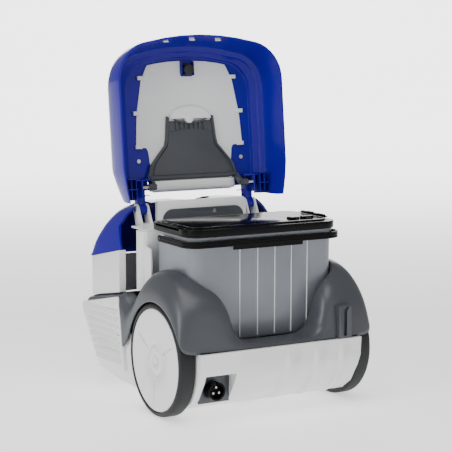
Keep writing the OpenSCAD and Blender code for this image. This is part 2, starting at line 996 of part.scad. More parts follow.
// Motor shaft with its belt pulley and the pinion inside the wheel
module drive_shaft(s) {
    side(s)
        color("silver")
            union() {
                x_rod(drive_motor_in + 31, gear_x + gear_w, pinion_y, axle_z, shaft_r);
                x_rod(pulley_x, pulley_x + pulley_w, pinion_y, axle_z, motor_pulley_r);
                x_gear(gear_x, gear_x + gear_w - 1, pinion_y, axle_z, 180)
                    polygon(gear_points(pinion_teeth, gear_m, pitch_pinion - 1.1 * gear_m,
                        pitch_pinion + 0.8 * gear_m, 0.9));
            }
}

module drive_shaft_left() {
    drive_shaft(-1);
}

module drive_shaft_right() {
    drive_shaft(1);
}

module brush_core(s) {
    side(s)
        color("gray")
            difference() {
                union() {
                    x_rod(1.5, brush_half, brush_y, brush_r, brush_core_r);
                    x_rod(brush_half - 1, pulley_x + pulley_w, brush_y, brush_r, shaft_r - 1 + run_gap + 0.9);
                    x_rod(pulley_x, pulley_x + pulley_w, brush_y, brush_r, brush_pulley_r);
                }
                x_rod(0, pulley_x + pulley_w + 1, brush_y, brush_r, shaft_r - 1 + run_gap);
                x_rod(8, brush_half - 8, brush_y, brush_r, 0.001 + shaft_r);
            }
}

module brush_core_left() {
    brush_core(-1);
}

module brush_core_right() {
    brush_core(1);
}

module brush_sleeve(s) {
    side(s)
        color("royalblue")
            difference() {
                union() {
                    x_rod(3, brush_half - 2, brush_y, brush_r, brush_core_r + 4);
                    for (i = [0:brush_blades - 1])
                        translate([3, brush_y, brush_r])
                            rotate([360 * i / brush_blades + 15, 0, 0])
                                translate([0, -1.5, brush_core_r])
                                    cube([brush_half - 5, 3, brush_r - brush_core_r]);
                }
                x_rod(2, brush_half, brush_y, brush_r, brush_core_r);
            }
}

module brush_sleeve_left() {
    brush_sleeve(-1);
}

module brush_sleeve_right() {
    brush_sleeve(1);
}

// Screws of the bottom plate, the motor box and the deck insert
module hull_screws() {
    color("silver") {
        y_rod(22, insert_y - 4, insert_y - 2.5, 331, screw_r * 1.9);
        y_rod(22, insert_y - 3, insert_y + 9, 331, screw_r);
        for (p = inlet_screws)
            translate([p[0], p[1], belly_z - 3.8]) {
                cylinder(h = 14, r = screw_r);
                cylinder(h = 1.6, r = screw_r * 1.9);
            }
        for (p = motor_screws)
            translate([p[0], p[1], box_top - 20]) {
                cylinder(h = 24, r = screw_r);
                translate([0, 0, 24])
                    cylinder(h = 2, r = screw_r * 1.9);
            }
    }
}

module hinge_pins() {
    color("silver")
        both()
            x_rod(arm_in - 5, arm_out + 6, hinge_y, hinge_z, hinge_pin_r);
}

// ---- lid -------------------------------------------------------------------

// Plan of the lid in its own frame: x across, z towards the free end
function lid_plan(low, half, z0, zl, z1, r, bow) = concat(
    [[-low, z0], [low, z0], [half, zl]],
    arc(half - r, z1 - bow - r, r, 0, 84, 8),
    [[0, z1]],
    arc(r - half, z1 - bow - r, r, 96, 180, 8),
    [[-half, zl]]);

module lid_slab(low, half, z0, zl, z1, r, bow, v0, v1) {
    translate([0, v1, 0])
        rotate([90, 0, 0])
            linear_extrude(height = v1 - v0)
                polygon(lid_plan(low, half, z0, zl, z1, r, bow));
}

lid_z0 = 14;
gap_half = 93.5;

module lid_shell() {
    color("mediumblue")
        on_lid()
            difference() {
                hull() {
                    lid_slab(lid_half - 9.5, lid_half, lid_z0, 77, lid_len, lid_corner, 12,
                        -lid_rim, -lid_rim + 14);
                    lid_slab(lid_half - 27, lid_half - 5, lid_z0 + 4, 62, lid_len - 4,
                        lid_corner - 4, 12, -2, 2);
                    lid_slab(lid_half - 44, lid_half - 44, 112, 120, lid_len - 52, 60, 8,
                        lid_crown - 2, lid_crown);
                }
                // the rim's cavity
                hull() {
                    lid_slab(lid_half - 14.5, lid_half - wall, -1, 77, lid_len - wall,
                        lid_corner - wall, 12, -lid_rim - 1, -lid_rim + 10);
                    lid_slab(lid_half - 37.5, lid_half - 16, -1, 62, lid_len - 16,
                        lid_corner - 12, 12, -2, 0);
                }
                // the outer and the inner step of the frame
                lid_slab(lid_half - 48, lid_half - 25, -1, 62, lid_len - 27, lid_corner - 14, 12, -1, 5);
                lid_slab(lid_half - 55, lid_half - 40, -1, 62, lid_len - 36, lid_corner - 18, 10, 4,
                    panel_v);
                // the hollow behind the white panel
                hull() {
                    lid_slab(108, 108, 60, 62, 268, 40, 6, panel_v - 1, panel_v + panel_t);
                    lid_slab(96, 96, 128, 130, 246, 40, 6, lid_crown - 6, lid_crown - 3);
                }
                // hand gap between the hinge arms
                translate([-gap_half, -lid_rim - 1, 0])
                    cube([2 * gap_half, 2 * lid_rim, 52]);
                both()
                    translate([110, -lid_rim, 90])
                        rotate([-90, 0, 0])
                            cylinder(h = lid_rim + panel_v + 6, r = screw_r);
            }
}

module lid_arms() {
    color("mediumblue")
        on_lid()
            both()
                difference() {
                    union() {
                        x_rod(arm_in, arm_out, 0, 0, arm_r);
                        translate([arm_in, -4, 0])
                            cube([arm_out - arm_in, panel_v + 4, 56]);
                        // ribs that carry the flap's pins
                        translate([arm_in + 11, flap_v - 4, 22])
                            cube([3, panel_v - flap_v + 4, 34]);
                        translate([gap_half + 6, flap_v - 2, 53])
                            cube([31, panel_v - flap_v + 2, 3]);
                    }
                    x_rod(arm_in - 1, arm_out + 1, 0, 0, hinge_pin_r + run_gap);
                    x_rod(flap_in, arm_out + 2, flap_v, flap_w, flap_pin_r);
                    translate([gap_half, flap_v - 14, 26])
                        cube([arm_in + 10.5 - gap_half, 10 - flap_v, 26]);
                }
}

// White panel with a half-round boss and a rolled lower edge
panel_outline = [
    [-84, 30], [84, 30], [84, 52], [90, 114], [114, 118], [110, 176], [98, 240], [84, 268],
    [13, 270], [13, 249], [-13, 249], [-13, 270], [-84, 268], [-98, 240], [-110, 176],
    [-114, 118], [-90, 114], [-84, 52]];

module lid_panel() {
    color("whitesmoke")
        on_lid()
            union() {
                translate([0, panel_v, 0])
                    rotate([90, 0, 0])
                        linear_extrude(height = 2.5)
                            polygon(panel_outline);
                translate([0, panel_v - 2, 168])
                    intersection() {
                        rotate([90, 0, 0])
                            cylinder(h = 8.5, r = 44);
                        translate([-50, -10, 0])
                            cube([100, 10.5, 23]);
                    }
                // rolled edge over the hand gap
                translate([-84, panel_v - 9.5, 32.5])
                    cube([168, 3, 18]);
                for (w = [32.5, 47.5])
                    translate([-84, panel_v - 9.5, w])
                        cube([168, 8, 3]);
            }
}

module lid_bumper() {
    color("black")
        on_lid()
            translate([0, panel_v, 260])
                rotate([90, 0, 0])
                    cylinder(h = panel_v + 3, r = 10.5);
}

module lid_screws() {
    color("silver")
        on_lid()
            both()
                translate([110, panel_v, 90])
                    rotate([-90, 0, 0]) {
                        cylinder(h = 6, r = screw_r);
                        translate([0, 0, -2])
                            cylinder(h = 2, r = screw_r * 1.9);
                    }
}

// Dark flap on the lid that holds the canister down
flap_outline = [
    [-74, 52.5], [74, 52.5], [92, 53], [97, 60], [89, 81], [79, 93], [57, 118], [54, 130],
    [50, 173], [45.6, 173], [45, 166], [38, 166], [38, 146], [-38, 146], [-38, 166],
    [-45, 166], [-45.6, 173], [-50, 173], [-54, 130], [-57, 118], [-79, 93], [-89, 81],
    [-97, 60], [-92, 53]];
flap_face = panel_v - 2.5 - 0.5;

module hold_down_flap() {
    color("dimgray")
        on_lid()
            difference() {
                union() {
                    translate([0, flap_face, 0])
                        rotate([90, 0, 0])
                            linear_extrude(height = 4)
                                polygon(flap_outline);
                    for (x = [-24:12:24])
                        translate([x - 1.5, flap_face - 4, 140])
                            cube([3, 4, 25]);
                    translate([-39, flap_face - 1.2, 145])
                        cube([78, 1.2, 20.5]);
                    both() {
                        x_rod(flap_in, flap_out, flap_v, flap_w, 6);
                        translate([86, flap_face - 4, 52.5])
                            cube([11, 4, 8]);
                        across(flap_in, 97)
                            polygon([[flap_v, flap_w - 5.5], [flap_v + 5, flap_w - 3],
                                [flap_face, 52.5], [flap_face, 60.5], [flap_face - 4, 60.5],
                                [flap_v, flap_w + 5.5]]);
                    }
                }
                both()
                    x_rod(flap_in - 1, flap_out + 1, flap_v, flap_w, flap_pin_r + run_gap);
            }
}

module flap_pins() {
    color("silver")
        on_lid()
            both()
                x_rod(flap_in + 1, arm_in + 14, flap_v, flap_w, flap_pin_r);
}

// ---- canister --------------------------------------------------------------

module bin_plan(t, z0, z1) {
    translate([0, 0, z0])
        linear_extrude(height = z1 - z0)
            polygon(round_rect(-bin_half + t, bin_back + t, bin_half - t, bin_front - t,
                max(4, bin_corner - t), 8));
}

module canister_bin() {
    color("lightslategray", 0.6)
        difference() {
            union() {
                bin_plan(0, seat_z, bin_top);
                bin_plan(-4, bin_top - flange_t, bin_top);
                // hinge lugs for the canister lid
                both()
                    for (x = [52, 72])
                        across(x, x + 5)
                            polygon(concat([[bin_front, bin_top - flange_t], [can_hinge_y + 2, bin_top - 3]],
                                arc(can_hinge_y, can_hinge_z, 3.5, -60, 120, 8),
                                [[rim_front + 0.8, bin_top]]));
                both()
                    across(bin_half + 3.5, handle_in - move_gap)
                        polygon([[handle_y + 8, bin_top - flange_t], [handle_y - 8, bin_top - flange_t],
                            [handle_y - 8, handle_z - 6], [handle_y + 8, handle_z - 6]]);
                both()
                    block([bin_half - 1, handle_y - 8, handle_z - 6],
                        [bin_half + 4, handle_y + 8, bin_top - flange_t]);
            }
            bin_plan(bin_wall, seat_z + bin_wall, bin_top + 1);
            translate([0, inlet_y, seat_z - 1])
                cylinder(h = 10, r = inlet_r);
            // outlet window towards the pump
            block([-96, bin_front - bin_wall - 1, seat_z + 30],
                [96, bin_front + 1, seat_z + 142]);
            both()
                x_rod(50, 80, can_hinge_y, can_hinge_z, can_pin_r);
            both()
                x_rod(bin_half + 0.5, handle_in + 1, handle_y, handle_z, can_pin_r);
        }
}

// Inlet collar and the screen over the outlet window
module canister_screen() {
    color("darkgray")
        union() {
            difference() {
                block([-102, bin_front - bin_wall - 2, seat_z + 24],
                    [102, bin_front - bin_wall, seat_z + 148]);
                block([-90, bin_front - bin_wall - 3, seat_z + 36],
                    [90, bin_front - bin_wall + 1, seat_z + 136]);
            }
            for (x = [-90:15:90])
                block([x - 0.8, bin_front - bin_wall - 1.6, seat_z + 30],
                    [x + 0.8, bin_front - bin_wall, seat_z + 142]);
            for (z = [46:15:136])
                block([-94, bin_front - bin_wall - 1.6, seat_z + z],
                    [94, bin_front - bin_wall, seat_z + z + 1.6]);
            difference() {
                translate([0, inlet_y, seat_z + bin_wall])
                    cylinder(h = collar_h, r = inlet_r + 3);
                translate([0, inlet_y, seat_z])
                    cylinder(h = collar_h + 10, r = inlet_r);
            }
            both()
                difference() {
                    block([10, inlet_y - inlet_r - 9, seat_z + bin_wall],
                        [14, inlet_y - inlet_r - 2, seat_z + bin_wall + collar_h + 4]);
                    x_rod(8, 16, inlet_y - inlet_r - 6, seat_z + bin_wall + collar_h + 1.5, can_pin_r);
                }
        }
}

module inlet_flap() {
    color("black")
        difference() {
            union() {
                translate([0, inlet_y, seat_z + bin_wall + collar_h + move_gap])
                    cylinder(h = 2, r = inlet_r + 2);
                block([-9.5, inlet_y - inlet_r - 6, seat_z + bin_wall + collar_h + move_gap],
                    [9.5, inlet_y - 10, seat_z + bin_wall + collar_h + move_gap + 2]);
                x_rod(-9.5, 9.5, inlet_y - inlet_r - 6, seat_z + bin_wall + collar_h + 1.5, 3);
            }
            x_rod(-10, 10, inlet_y - inlet_r - 6, seat_z + bin_wall + collar_h + 1.5,
                can_pin_r + run_gap);
        }
}

// Pins of the canister: lid hinge, handle pivots and inlet flap
module canister_pins() {
    color("silver") {
        both()
            x_rod(52, 77, can_hinge_y, can_hinge_z, can_pin_r);
        both()
            x_rod(bin_half + 1, handle_in + handle_t - 0.5, handle_y, handle_z, can_pin_r);
        x_rod(-14, 14, inlet_y - inlet_r - 6, seat_z + bin_wall + collar_h + 1.5, can_pin_r);
    }
}

module rim_plan(t, z0, z1) {
    translate([0, 0, z0])
        linear_extrude(height = z1 - z0)
            polygon(round_rect(-rim_half + t, rim_back + t, rim_half - t, rim_front - t,
                max(4, rim_corner - t / 2), 8));
}

window_in = 16;

module canister_lid() {
    color("#1c1c1e")
        difference() {
            union() {
                rim_plan(0, rim_z, lid_top);
                rim_plan(window_in - 3, lid_top - 1, lid_top + 3);
                both()
                    across(57.3, 71.7)
                        polygon(concat(arc(can_hinge_y, can_hinge_z, 3.3, -90, 90, 8),
                            [[rim_front - 1, can_hinge_z + 3.3], [rim_front - 1, can_hinge_z - 3.3]]));
            }
            // open over the bin, with a seat for the window above it
            rim_plan(10, rim_z - 1, rim_z + 7);
            rim_plan(window_in + 6, rim_z, lid_top + 4);
            rim_plan(window_in, lid_top, lid_top + 4);
            both()
                x_rod(57, 72, can_hinge_y, can_hinge_z, can_pin_r + run_gap);
            // recess for each latch
            both()
                block([latch_x - 2, latch_y - 1, lid_top - 4],
                    [rim_half + 1, latch_y + latch_len + 1, lid_top + 4]);
            both()
                x_rod_y(latch_y - 4, latch_y + latch_len + 4);
        }
}

// The pin line of a latch
module x_rod_y(y0, y1) {
    y_rod(latch_x + 1.5, y0, y1, lid_top - 1, can_pin_r);
}

module canister_window() {
    color("#202028", 0.7)
        rim_plan(window_in, lid_top, lid_top + 3);
}

module canister_gasket() {
    color("black")
        difference() {
            rim_plan(10, rim_z + 5, rim_z + 7);
            rim_plan(14, rim_z + 4, rim_z + 8);
        }
}

module latch(s, lift) {
    side(s)
        color("#1c1c1e")
            translate([latch_x + 1.5, 0, lid_top - 1])
                rotate([0, -lift, 0])
                    translate([-latch_x - 1.5, 0, 1 - lid_top])
                        difference() {
                            union() {
                                block([latch_x + 1.5, latch_y, lid_top - 0.5],
                                    [rim_half - 0.6, latch_y + latch_len, lid_top + 1.5]);
                                y_rod(latch_x + 1.5, latch_y, latch_y + latch_len, lid_top - 1, 2.6);
                            }
                            y_rod(latch_x + 1.5, latch_y - 1, latch_y + latch_len + 1, lid_top - 1,
                                can_pin_r + run_gap);
                        }
}

module latch_left() {
    latch(-1, 0);
}

module latch_right() {
    latch(1, latch_ajar);
}

module latch_pins() {
    color("silver")
        both()
            y_rod(latch_x + 1.5, latch_y - 3.5, latch_y + latch_len + 3.5, lid_top - 1, can_pin_r);
}

module canister_handle() {
    color("#1c1c1e")
        difference() {
            union() {
                difference() {
                    translate([0, 0, handle_z - handle_h / 2])
                        linear_extrude(height = handle_h)
                            polygon(round_rect(-handle_in - handle_t, rim_back - 8,
                                handle_in + handle_t, handle_y + 60, rim_corner, 8));
                    translate([0, 0, handle_z - handle_h / 2 - 1])
                        linear_extrude(height = handle_h + 2)
                            polygon(round_rect(-handle_in, rim_back - 8 + handle_t,
                                handle_in, handle_y + 59, rim_corner - handle_t, 8));
                    block([-200, handle_y, 0], [200, 60, 400]);
                }
                both()
                    x_rod(handle_in, handle_in + handle_t, handle_y, handle_z, handle_h / 2);
                // deeper grip in the middle
                block([-70, rim_back - 8, handle_z - handle_h / 2 - 6],
                    [70, rim_back - 8 + handle_t, handle_z]);
            }
            both()
                x_rod(handle_in - 1, handle_in + handle_t + 1, handle_y, handle_z,
                    can_pin_r + run_gap);
        }
}

// ---- what is drawn ---------------------------------------------------------

base_shell();
bottom_plate();
intake_duct();
inlet_seal();
body_frame();
front_shell();
bulkhead();
deck();
deck_insert();
nose_cover();
side_panel_left();
side_panel_right();
connector_plate();
power_connector();
connector_pins();
cable_clip();
motor_box();
motor_box_cover();
motor_box_seal();
pump_motor();
control_board();
pump_duct();
outlet_grille();
impeller();
drive_motors();
axle_stubs();
brush_axle();
drive_belts();
hull_screws();
hinge_pins();
tyre_left();
tyre_right();
wheel_hub_left();
wheel_hub_right();
hub_cap_left();
hub_cap_right();
drive_shaft_left();
drive_shaft_right();
brush_core_left();
brush_core_right();
brush_sleeve_left();
brush_sleeve_right();
lid_shell();
lid_arms();
lid_panel();
lid_bumper();
lid_screws();
hold_down_flap();
flap_pins();
canister_bin();
canister_screen();
canister_lid();
canister_window();
canister_gasket();
latch_left();
latch_right();
latch_pins();
canister_handle();
inlet_flap();
canister_pins();
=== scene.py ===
# %% [markdown]
# # A robotic pool cleaner with its lid raised
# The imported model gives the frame: every node is loaded where it belongs, in metres. The moulded
# skins that people see are then made again with finer curves, and each piece gets the finish of
# its real plastic, rubber or steel.

import json
import math

import bmesh
import bpy
from mathutils import Euler, Matrix, Vector


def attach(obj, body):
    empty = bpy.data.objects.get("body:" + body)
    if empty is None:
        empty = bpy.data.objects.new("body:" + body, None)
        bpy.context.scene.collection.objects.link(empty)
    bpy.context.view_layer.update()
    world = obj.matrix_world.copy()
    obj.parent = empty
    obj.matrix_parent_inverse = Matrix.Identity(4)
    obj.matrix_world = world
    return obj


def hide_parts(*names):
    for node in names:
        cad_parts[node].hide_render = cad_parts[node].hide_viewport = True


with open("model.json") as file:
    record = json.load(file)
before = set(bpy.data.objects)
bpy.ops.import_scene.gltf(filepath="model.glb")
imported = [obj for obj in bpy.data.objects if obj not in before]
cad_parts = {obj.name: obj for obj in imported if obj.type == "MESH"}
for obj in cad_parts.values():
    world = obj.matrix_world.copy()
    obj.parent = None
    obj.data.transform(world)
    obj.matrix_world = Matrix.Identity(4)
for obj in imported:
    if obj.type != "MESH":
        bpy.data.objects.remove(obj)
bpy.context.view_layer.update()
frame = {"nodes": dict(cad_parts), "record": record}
nodes = frame["nodes"]
MM = 0.001
print("nodes loaded:", len(nodes))

# %% [markdown]
# ## Camera, floor and light
# The cleaner is seen from behind and to its left, from a little above, through a long lens that
# keeps its sides nearly parallel. The floor glows a little. A narrow backdrop behind the cleaner
# glows more the farther off it is, so the background is bright while the dark plastics mirror
# little of it. Three large soft lights add long clean highlights.

# %% Camera
VIEW_TURN = -29.011
VIEW_DIP = 7.676
camera_data = bpy.data.cameras.new("camera")
camera_data.lens = 114.75
camera_data.sensor_width = 36
camera_data.clip_end = 50
camera = bpy.data.objects.new("camera", camera_data)
camera.location = (-1.27397, -2.30537, 0.66646)
camera.rotation_euler = Euler((math.radians(90 - VIEW_DIP), 0, math.radians(VIEW_TURN)))
bpy.context.scene.collection.objects.link(camera)
bpy.context.scene.camera = camera
print("camera lens", camera_data.lens, "mm")


# %% Colours and nodes
def srgb(code):
    """A hex colour as linear red, green, blue and alpha."""
    parts = [int(code[i:i + 2], 16) / 255 for i in (0, 2, 4)]
    return [c / 12.92 if c < 0.04045 else ((c + 0.055) / 1.055) ** 2.4 for c in parts] + [1]


def add(tree, kind, settings=None, links=None, values=None):
    """Adds one node: settings are its own, values go on its inputs, links feed its inputs."""
    node = tree.nodes.new(kind)
    for name, value in (settings or {}).items():
        setattr(node, name, value)
    for name, value in (values or {}).items():
        node.inputs[name].default_value = value
    for name, source in (links or {}).items():
        tree.links.new(source, node.inputs[name])
    return node


def new_material(name):
    """A new material, its node tree and its main shader."""
    material = bpy.data.materials.new(name)
    material.use_nodes = True
    tree = material.node_tree
    return material, tree, tree.nodes["Principled BSDF"]


def new_object(name, bm):
    """Stores the mesh in a new object of the scene."""
    mesh = bpy.data.meshes.new(name)
    bm.to_mesh(mesh)
    bm.free()
    made = bpy.data.objects.new(name, mesh)
    bpy.context.scene.collection.objects.link(made)
    return made


print("white plastic is", [round(c, 3) for c in srgb("e2e3e2")])


# %% Floor, backdrop and world
FLOOR_GLOW = 0.85
BACKDROP_GLOW = 3.2
SIGHT = (0.485, 0.875, 0)


def studio_sheet(name, outline, low_glow, high_glow):
    """White paper through rows of (reach, height, half width) along the line of sight, in metres."""
    bm = bmesh.new()
    turn = Matrix.Rotation(math.radians(-29), 4, "Z")
    rows = []
    for side in (-1, 1):
        verts = [bm.verts.new(turn @ Vector((side * half, reach, up))) for reach, up, half in outline]
        rows.append([bm.edges.new(pair) for pair in zip(verts, verts[1:])])
    bmesh.ops.bridge_loops(bm, edges=rows[0] + rows[1])
    sheet = new_object(name, bm)
    sheet.data.shade_smooth()
    paper, tree, shader = new_material(name + "_paper")
    shader.inputs["Base Color"].default_value = srgb("f6f6f6")
    shader.inputs["Roughness"].default_value = 0.9
    shader.inputs["Emission Color"].default_value = (1, 1, 1, 1)
    place = add(tree, "ShaderNodeTexCoord")
    away = add(tree, "ShaderNodeVectorMath", {"operation": "DOT_PRODUCT"})
    tree.links.new(place.outputs["Object"], away.inputs[0])
    away.inputs[1].default_value = SIGHT
    glow = add(tree, "ShaderNodeMapRange", {"interpolation_type": "SMOOTHSTEP"},
        values={"From Min": 0.5, "From Max": 4.5, "To Min": low_glow, "To Max": high_glow},
        links={"Value": away.outputs["Value"]})
    tree.links.new(glow.outputs["Result"], shader.inputs["Emission Strength"])
    sheet.data.materials.append(paper)


studio_sheet("floor", [(-14, 0, 14), (14, 0, 14)], FLOOR_GLOW, FLOOR_GLOW)
studio_sheet("backdrop", [(0.45, -0.004, 0.6), (0.9, 0.001, 0.7), (3.2, 0.004, 1.15),
    (4.4, 0.12, 1.4), (5.4, 0.5, 1.6), (6.2, 1.3, 1.8), (6.6, 2.4, 1.9), (6.7, 4, 1.9)],
    FLOOR_GLOW, BACKDROP_GLOW)
world = bpy.data.worlds.new("studio")
bpy.context.scene.world = world
world.use_nodes = True
world.node_tree.nodes["Background"].inputs["Color"].default_value = (1, 1, 1, 1)
world.node_tree.nodes["Background"].inputs["Strength"].default_value = 0.35
print("floor, backdrop and world ready")


# %% Soft lights
def softbox(name, place, aim, size, watts):
    """A rectangular light at a place, turned towards the point it aims at."""
    data = bpy.data.lights.new(name, "AREA")
    data.shape = "RECTANGLE"
    data.size, data.size_y = size
    data.energy = watts
    light = bpy.data.objects.new(name, data)
    light.location = place
    light.rotation_euler = (Vector(place) - Vector(aim)).to_track_quat("Z", "Y").to_euler()
    bpy.context.scene.collection.objects.link(light)


softbox("overhead", (-0.5, -0.7, 2.2), (0, 0, 0.3), (1.6, 1.6), 28)
softbox("left_side", (-2.2, -0.5, 1.1), (0, 0, 0.25), (1.0, 1.4), 28)
softbox("rear_fill", (0.6, -2.5, 0.9), (0, 0, 0.2), (1.4, 1.0), 4)
print("three soft lights")

# %% [markdown]
# ## Finishes
# Nearly all of the machine is injection-moulded ABS. The mould is spark-eroded, so even a
# shiny part has a very fine grain that breaks up its highlights, and the colour drifts a little
# with the flow of the melt. One function makes these plastics from colour, gloss and grain, and
# with other values the rubbers, the painted steel and the circuit board. Sheen sets how strongly
# a surface mirrors. It is low for the dark plastics, which bright surroundings would turn grey.


# %% Moulded plastic
def moulded(name, code, roughness, grain_mm=0.9, bump=0.06, drift=0.04, ior=1.53, sheen=0.5):
    """Moulded ABS: a fine spark-eroded grain, faint flow marks, and dust that dulls it in patches."""
    material, tree, shader = new_material(name)
    place = add(tree, "ShaderNodeTexCoord")
    flow = add(tree, "ShaderNodeTexNoise", values={"Scale": 9, "Detail": 3},
        links={"Vector": place.outputs["Object"]})
    base = srgb(code)
    tint = add(tree, "ShaderNodeMix", {"data_type": "RGBA"})
    tint.inputs[6].default_value = [c * (1 - drift) for c in base[:3]] + [1]
    tint.inputs[7].default_value = [min(1, c * (1 + drift)) for c in base[:3]] + [1]
    tree.links.new(flow.outputs["Fac"], tint.inputs[0])
    tree.links.new(tint.outputs[2], shader.inputs["Base Color"])
    dust = add(tree, "ShaderNodeTexNoise", values={"Scale": 38, "Detail": 4},
        links={"Vector": place.outputs["Object"]})
    dull = add(tree, "ShaderNodeMapRange",
        values={"To Min": max(0.02, roughness - 0.05), "To Max": roughness + 0.06},
        links={"Value": dust.outputs["Fac"]})
    tree.links.new(dull.outputs["Result"], shader.inputs["Roughness"])
    grain = add(tree, "ShaderNodeTexNoise", values={"Scale": 1000 / grain_mm / 2, "Detail": 2},
        links={"Vector": place.outputs["Object"]})
    relief = add(tree, "ShaderNodeBump", values={"Strength": bump, "Distance": 0.0003},
        links={"Height": grain.outputs["Fac"]})
    tree.links.new(relief.outputs["Normal"], shader.inputs["Normal"])
    shader.inputs["IOR"].default_value = ior
    shader.inputs["Specular IOR Level"].default_value = sheen
    return material


finish = {
    "white_plastic": moulded("white_moulded_abs", "e2e3e2", 0.38),
    "blue_plastic": moulded("blue_polished_abs", "1c048a", 0.2, bump=0.02, drift=0.06, sheen=0.22),
    "grey_plastic": moulded("slate_grey_satin_abs", "414449", 0.34, bump=0.05, sheen=0.4),
    "black_plastic": moulded("black_polished_abs", "070708", 0.28, bump=0.01, sheen=0.1),
    "light_grey_plastic": moulded("light_grey_satin_abs", "dfe0df", 0.42),
    "tyre_rubber": moulded("charcoal_moulded_rubber", "1b1c1e", 0.55, 1.4, 0.16, 0.08, sheen=0.3),
    "seal_rubber": moulded("black_soft_rubber", "161617", 0.6, 1.2, 0.12),
    "brush_rubber": moulded("blue_soft_pvc", "243c9a", 0.5, 1.2, 0.1),
    "motor_steel": moulded("grey_painted_steel", "50555c", 0.35),
    "circuit_board": moulded("green_lacquered_board", "1c5a34", 0.3),
}
print("moulded finishes:", len(finish))

# %% [markdown]
# The bin is a translucent grey polycarbonate. Light enters it, scatters and leaves, so it looks
# frosted. Its colour drifts more than the other plastics': a painted shade that stands for the
# blurred shadows seen through the wall. The window of the canister's lid is the same plastic with
# so much smoke dye that it looks black. It mirrors only weakly and a little softly.


# %% Translucent plastics
def translucent(name, code, roughness, transmission, grain_mm=1.5, bump=0.03, drift=0.05, sheen=0.5):
    """Dyed polycarbonate, partly see-through. A small colour drift gives faint flow lines; a strong one
    is painted shade.
    """
    material = moulded(name, code, roughness, grain_mm, bump, drift, 1.58, sheen)
    shader = material.node_tree.nodes["Principled BSDF"]
    shader.inputs["Transmission Weight"].default_value = transmission
    return material


# the bin's strong colour drift is painted shade, standing for the shadows seen through its wall
finish["clear_grey_plastic"] = translucent("frosted_grey_polycarbonate", "989ea8", 0.3, 0.5, drift=0.32)
finish["smoke_plastic"] = translucent("smoked_polycarbonate", "08080c", 0.14, 0.05, 3, 0.01, sheen=0.008)
print("translucent finishes:", finish["clear_grey_plastic"].name, finish["smoke_plastic"].name)


# %% Turned steel
def turned_steel():
    """Stainless pins and screw heads, with rings from the turning tool."""
    material, tree, shader = new_material("turned_stainless_steel")
    place = add(tree, "ShaderNodeTexCoord")
    rings = add(tree, "ShaderNodeTexWave", {"bands_direction": "X"},
        values={"Scale": 300, "Distortion": 1.5}, links={"Vector": place.outputs["Object"]})
    shade = add(tree, "ShaderNodeMapRange", values={"To Min": 0.22, "To Max": 0.38},
        links={"Value": rings.outputs["Fac"]})
    tree.links.new(shade.outputs["Result"], shader.inputs["Roughness"])
    relief = add(tree, "ShaderNodeBump", values={"Strength": 0.15, "Distance": 0.0001},
        links={"Height": rings.outputs["Fac"]})
    tree.links.new(relief.outputs["Normal"], shader.inputs["Normal"])
    shader.inputs["Base Color"].default_value = srgb("c4c5c7")
    shader.inputs["Metallic"].default_value = 1.0
    return material


finish["steel"] = turned_steel()
slot_of = {part["node"]: part["material_slot"] for part in frame["record"]["subparts"]}
for name, obj in nodes.items():
    obj.data.materials.clear()
    obj.data.materials.append(finish[slot_of[name]])
print("every node has a finish:", len(slot_of))

# %% [markdown]
# ## Making a piece
# Each new piece ends the same way: its mesh is stored, it gets its finish, and it rides on the
# body that its CAD node belongs to. A piece that takes the node's place hides the node. One that
# only adds detail leaves it, because another piece has taken that place.

# %% Store a piece
body_of = {n: body for body, group in frame["record"]["behaviour"]["bodies"].items() for n in group}


def keep(name, bm, stands_for, slot=None, hide=True):
    """Makes a piece of the object from the mesh, for the node it replaces or adds detail to."""
    piece = new_object(name, bm)
    piece.data.shade_smooth()
    slot = slot or slot_of[stands_for[0]]
    piece.data.materials.append(finish[slot])
    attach(piece, body_of[stands_for[0]])
    if hide:
        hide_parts(*stands_for)
    print(name, "faces:", len(piece.data.polygons))
    return piece


def modify(piece, kind, **settings):
    """Adds a modifier with these settings."""
    modifier = piece.modifiers.new(kind.lower(), kind)
    for name, value in settings.items():
        setattr(modifier, name, value)


def rounding(piece, width_mm, angle=35, segments=2, harden_normals=True, **settings):
    """Rounds every edge that is sharper than the angle."""
    modify(piece, "BEVEL", width=width_mm * MM, segments=segments, limit_method="ANGLE",
        angle_limit=math.radians(angle), harden_normals=harden_normals, **settings)


# %% [markdown]
# Many parts are right in shape and only lack the small radius that every moulded edge has. A
# copy of the node is welded, its flat facets are joined, and a bevel rounds each sharp edge so
# that it catches a thin line of light.


# %% Rounded copy of a node
def rounded(node, radius_mm, segments=2):
    """A copy of the node with its edges rounded, in the node's place."""
    bm = bmesh.new()
    bm.from_mesh(nodes[node].data)
    bmesh.ops.remove_doubles(bm, verts=bm.verts, dist=0.00002)
    bmesh.ops.dissolve_limit(bm, angle_limit=math.radians(1), verts=bm.verts, edges=bm.edges)
    piece = keep(node + "_moulding", bm, [node])
    rounding(piece, radius_mm, 32, segments, miter_outer="MITER_ARC")


for node, radius in {
        "deck": 0.9, "deck_insert": 0.8, "bulkhead": 0.8, "front_shell": 1.0,
        "side_panel_left": 0.9, "side_panel_right": 0.9, "lid_arms": 0.6, "cable_clip": 0.6,
        "connector_plate": 0.4, "power_connector": 0.7}.items():
    rounded(node, radius)
print("rounded copies made")


# %% [markdown]
# ## The dark frame with its fenders
# The frame is one moulding that sweeps over both wheels and dips behind the bin. Its skin has no
# flat faces, so it is lofted: at each station round the machine a short chain of points runs
# from the wall beside the bin, over the crest, down to the lower edge. Neighbouring chains are
# bridged, the other side is mirrored, a subdivision surface makes the sweep smooth, and a
# solidify gives it a wall.

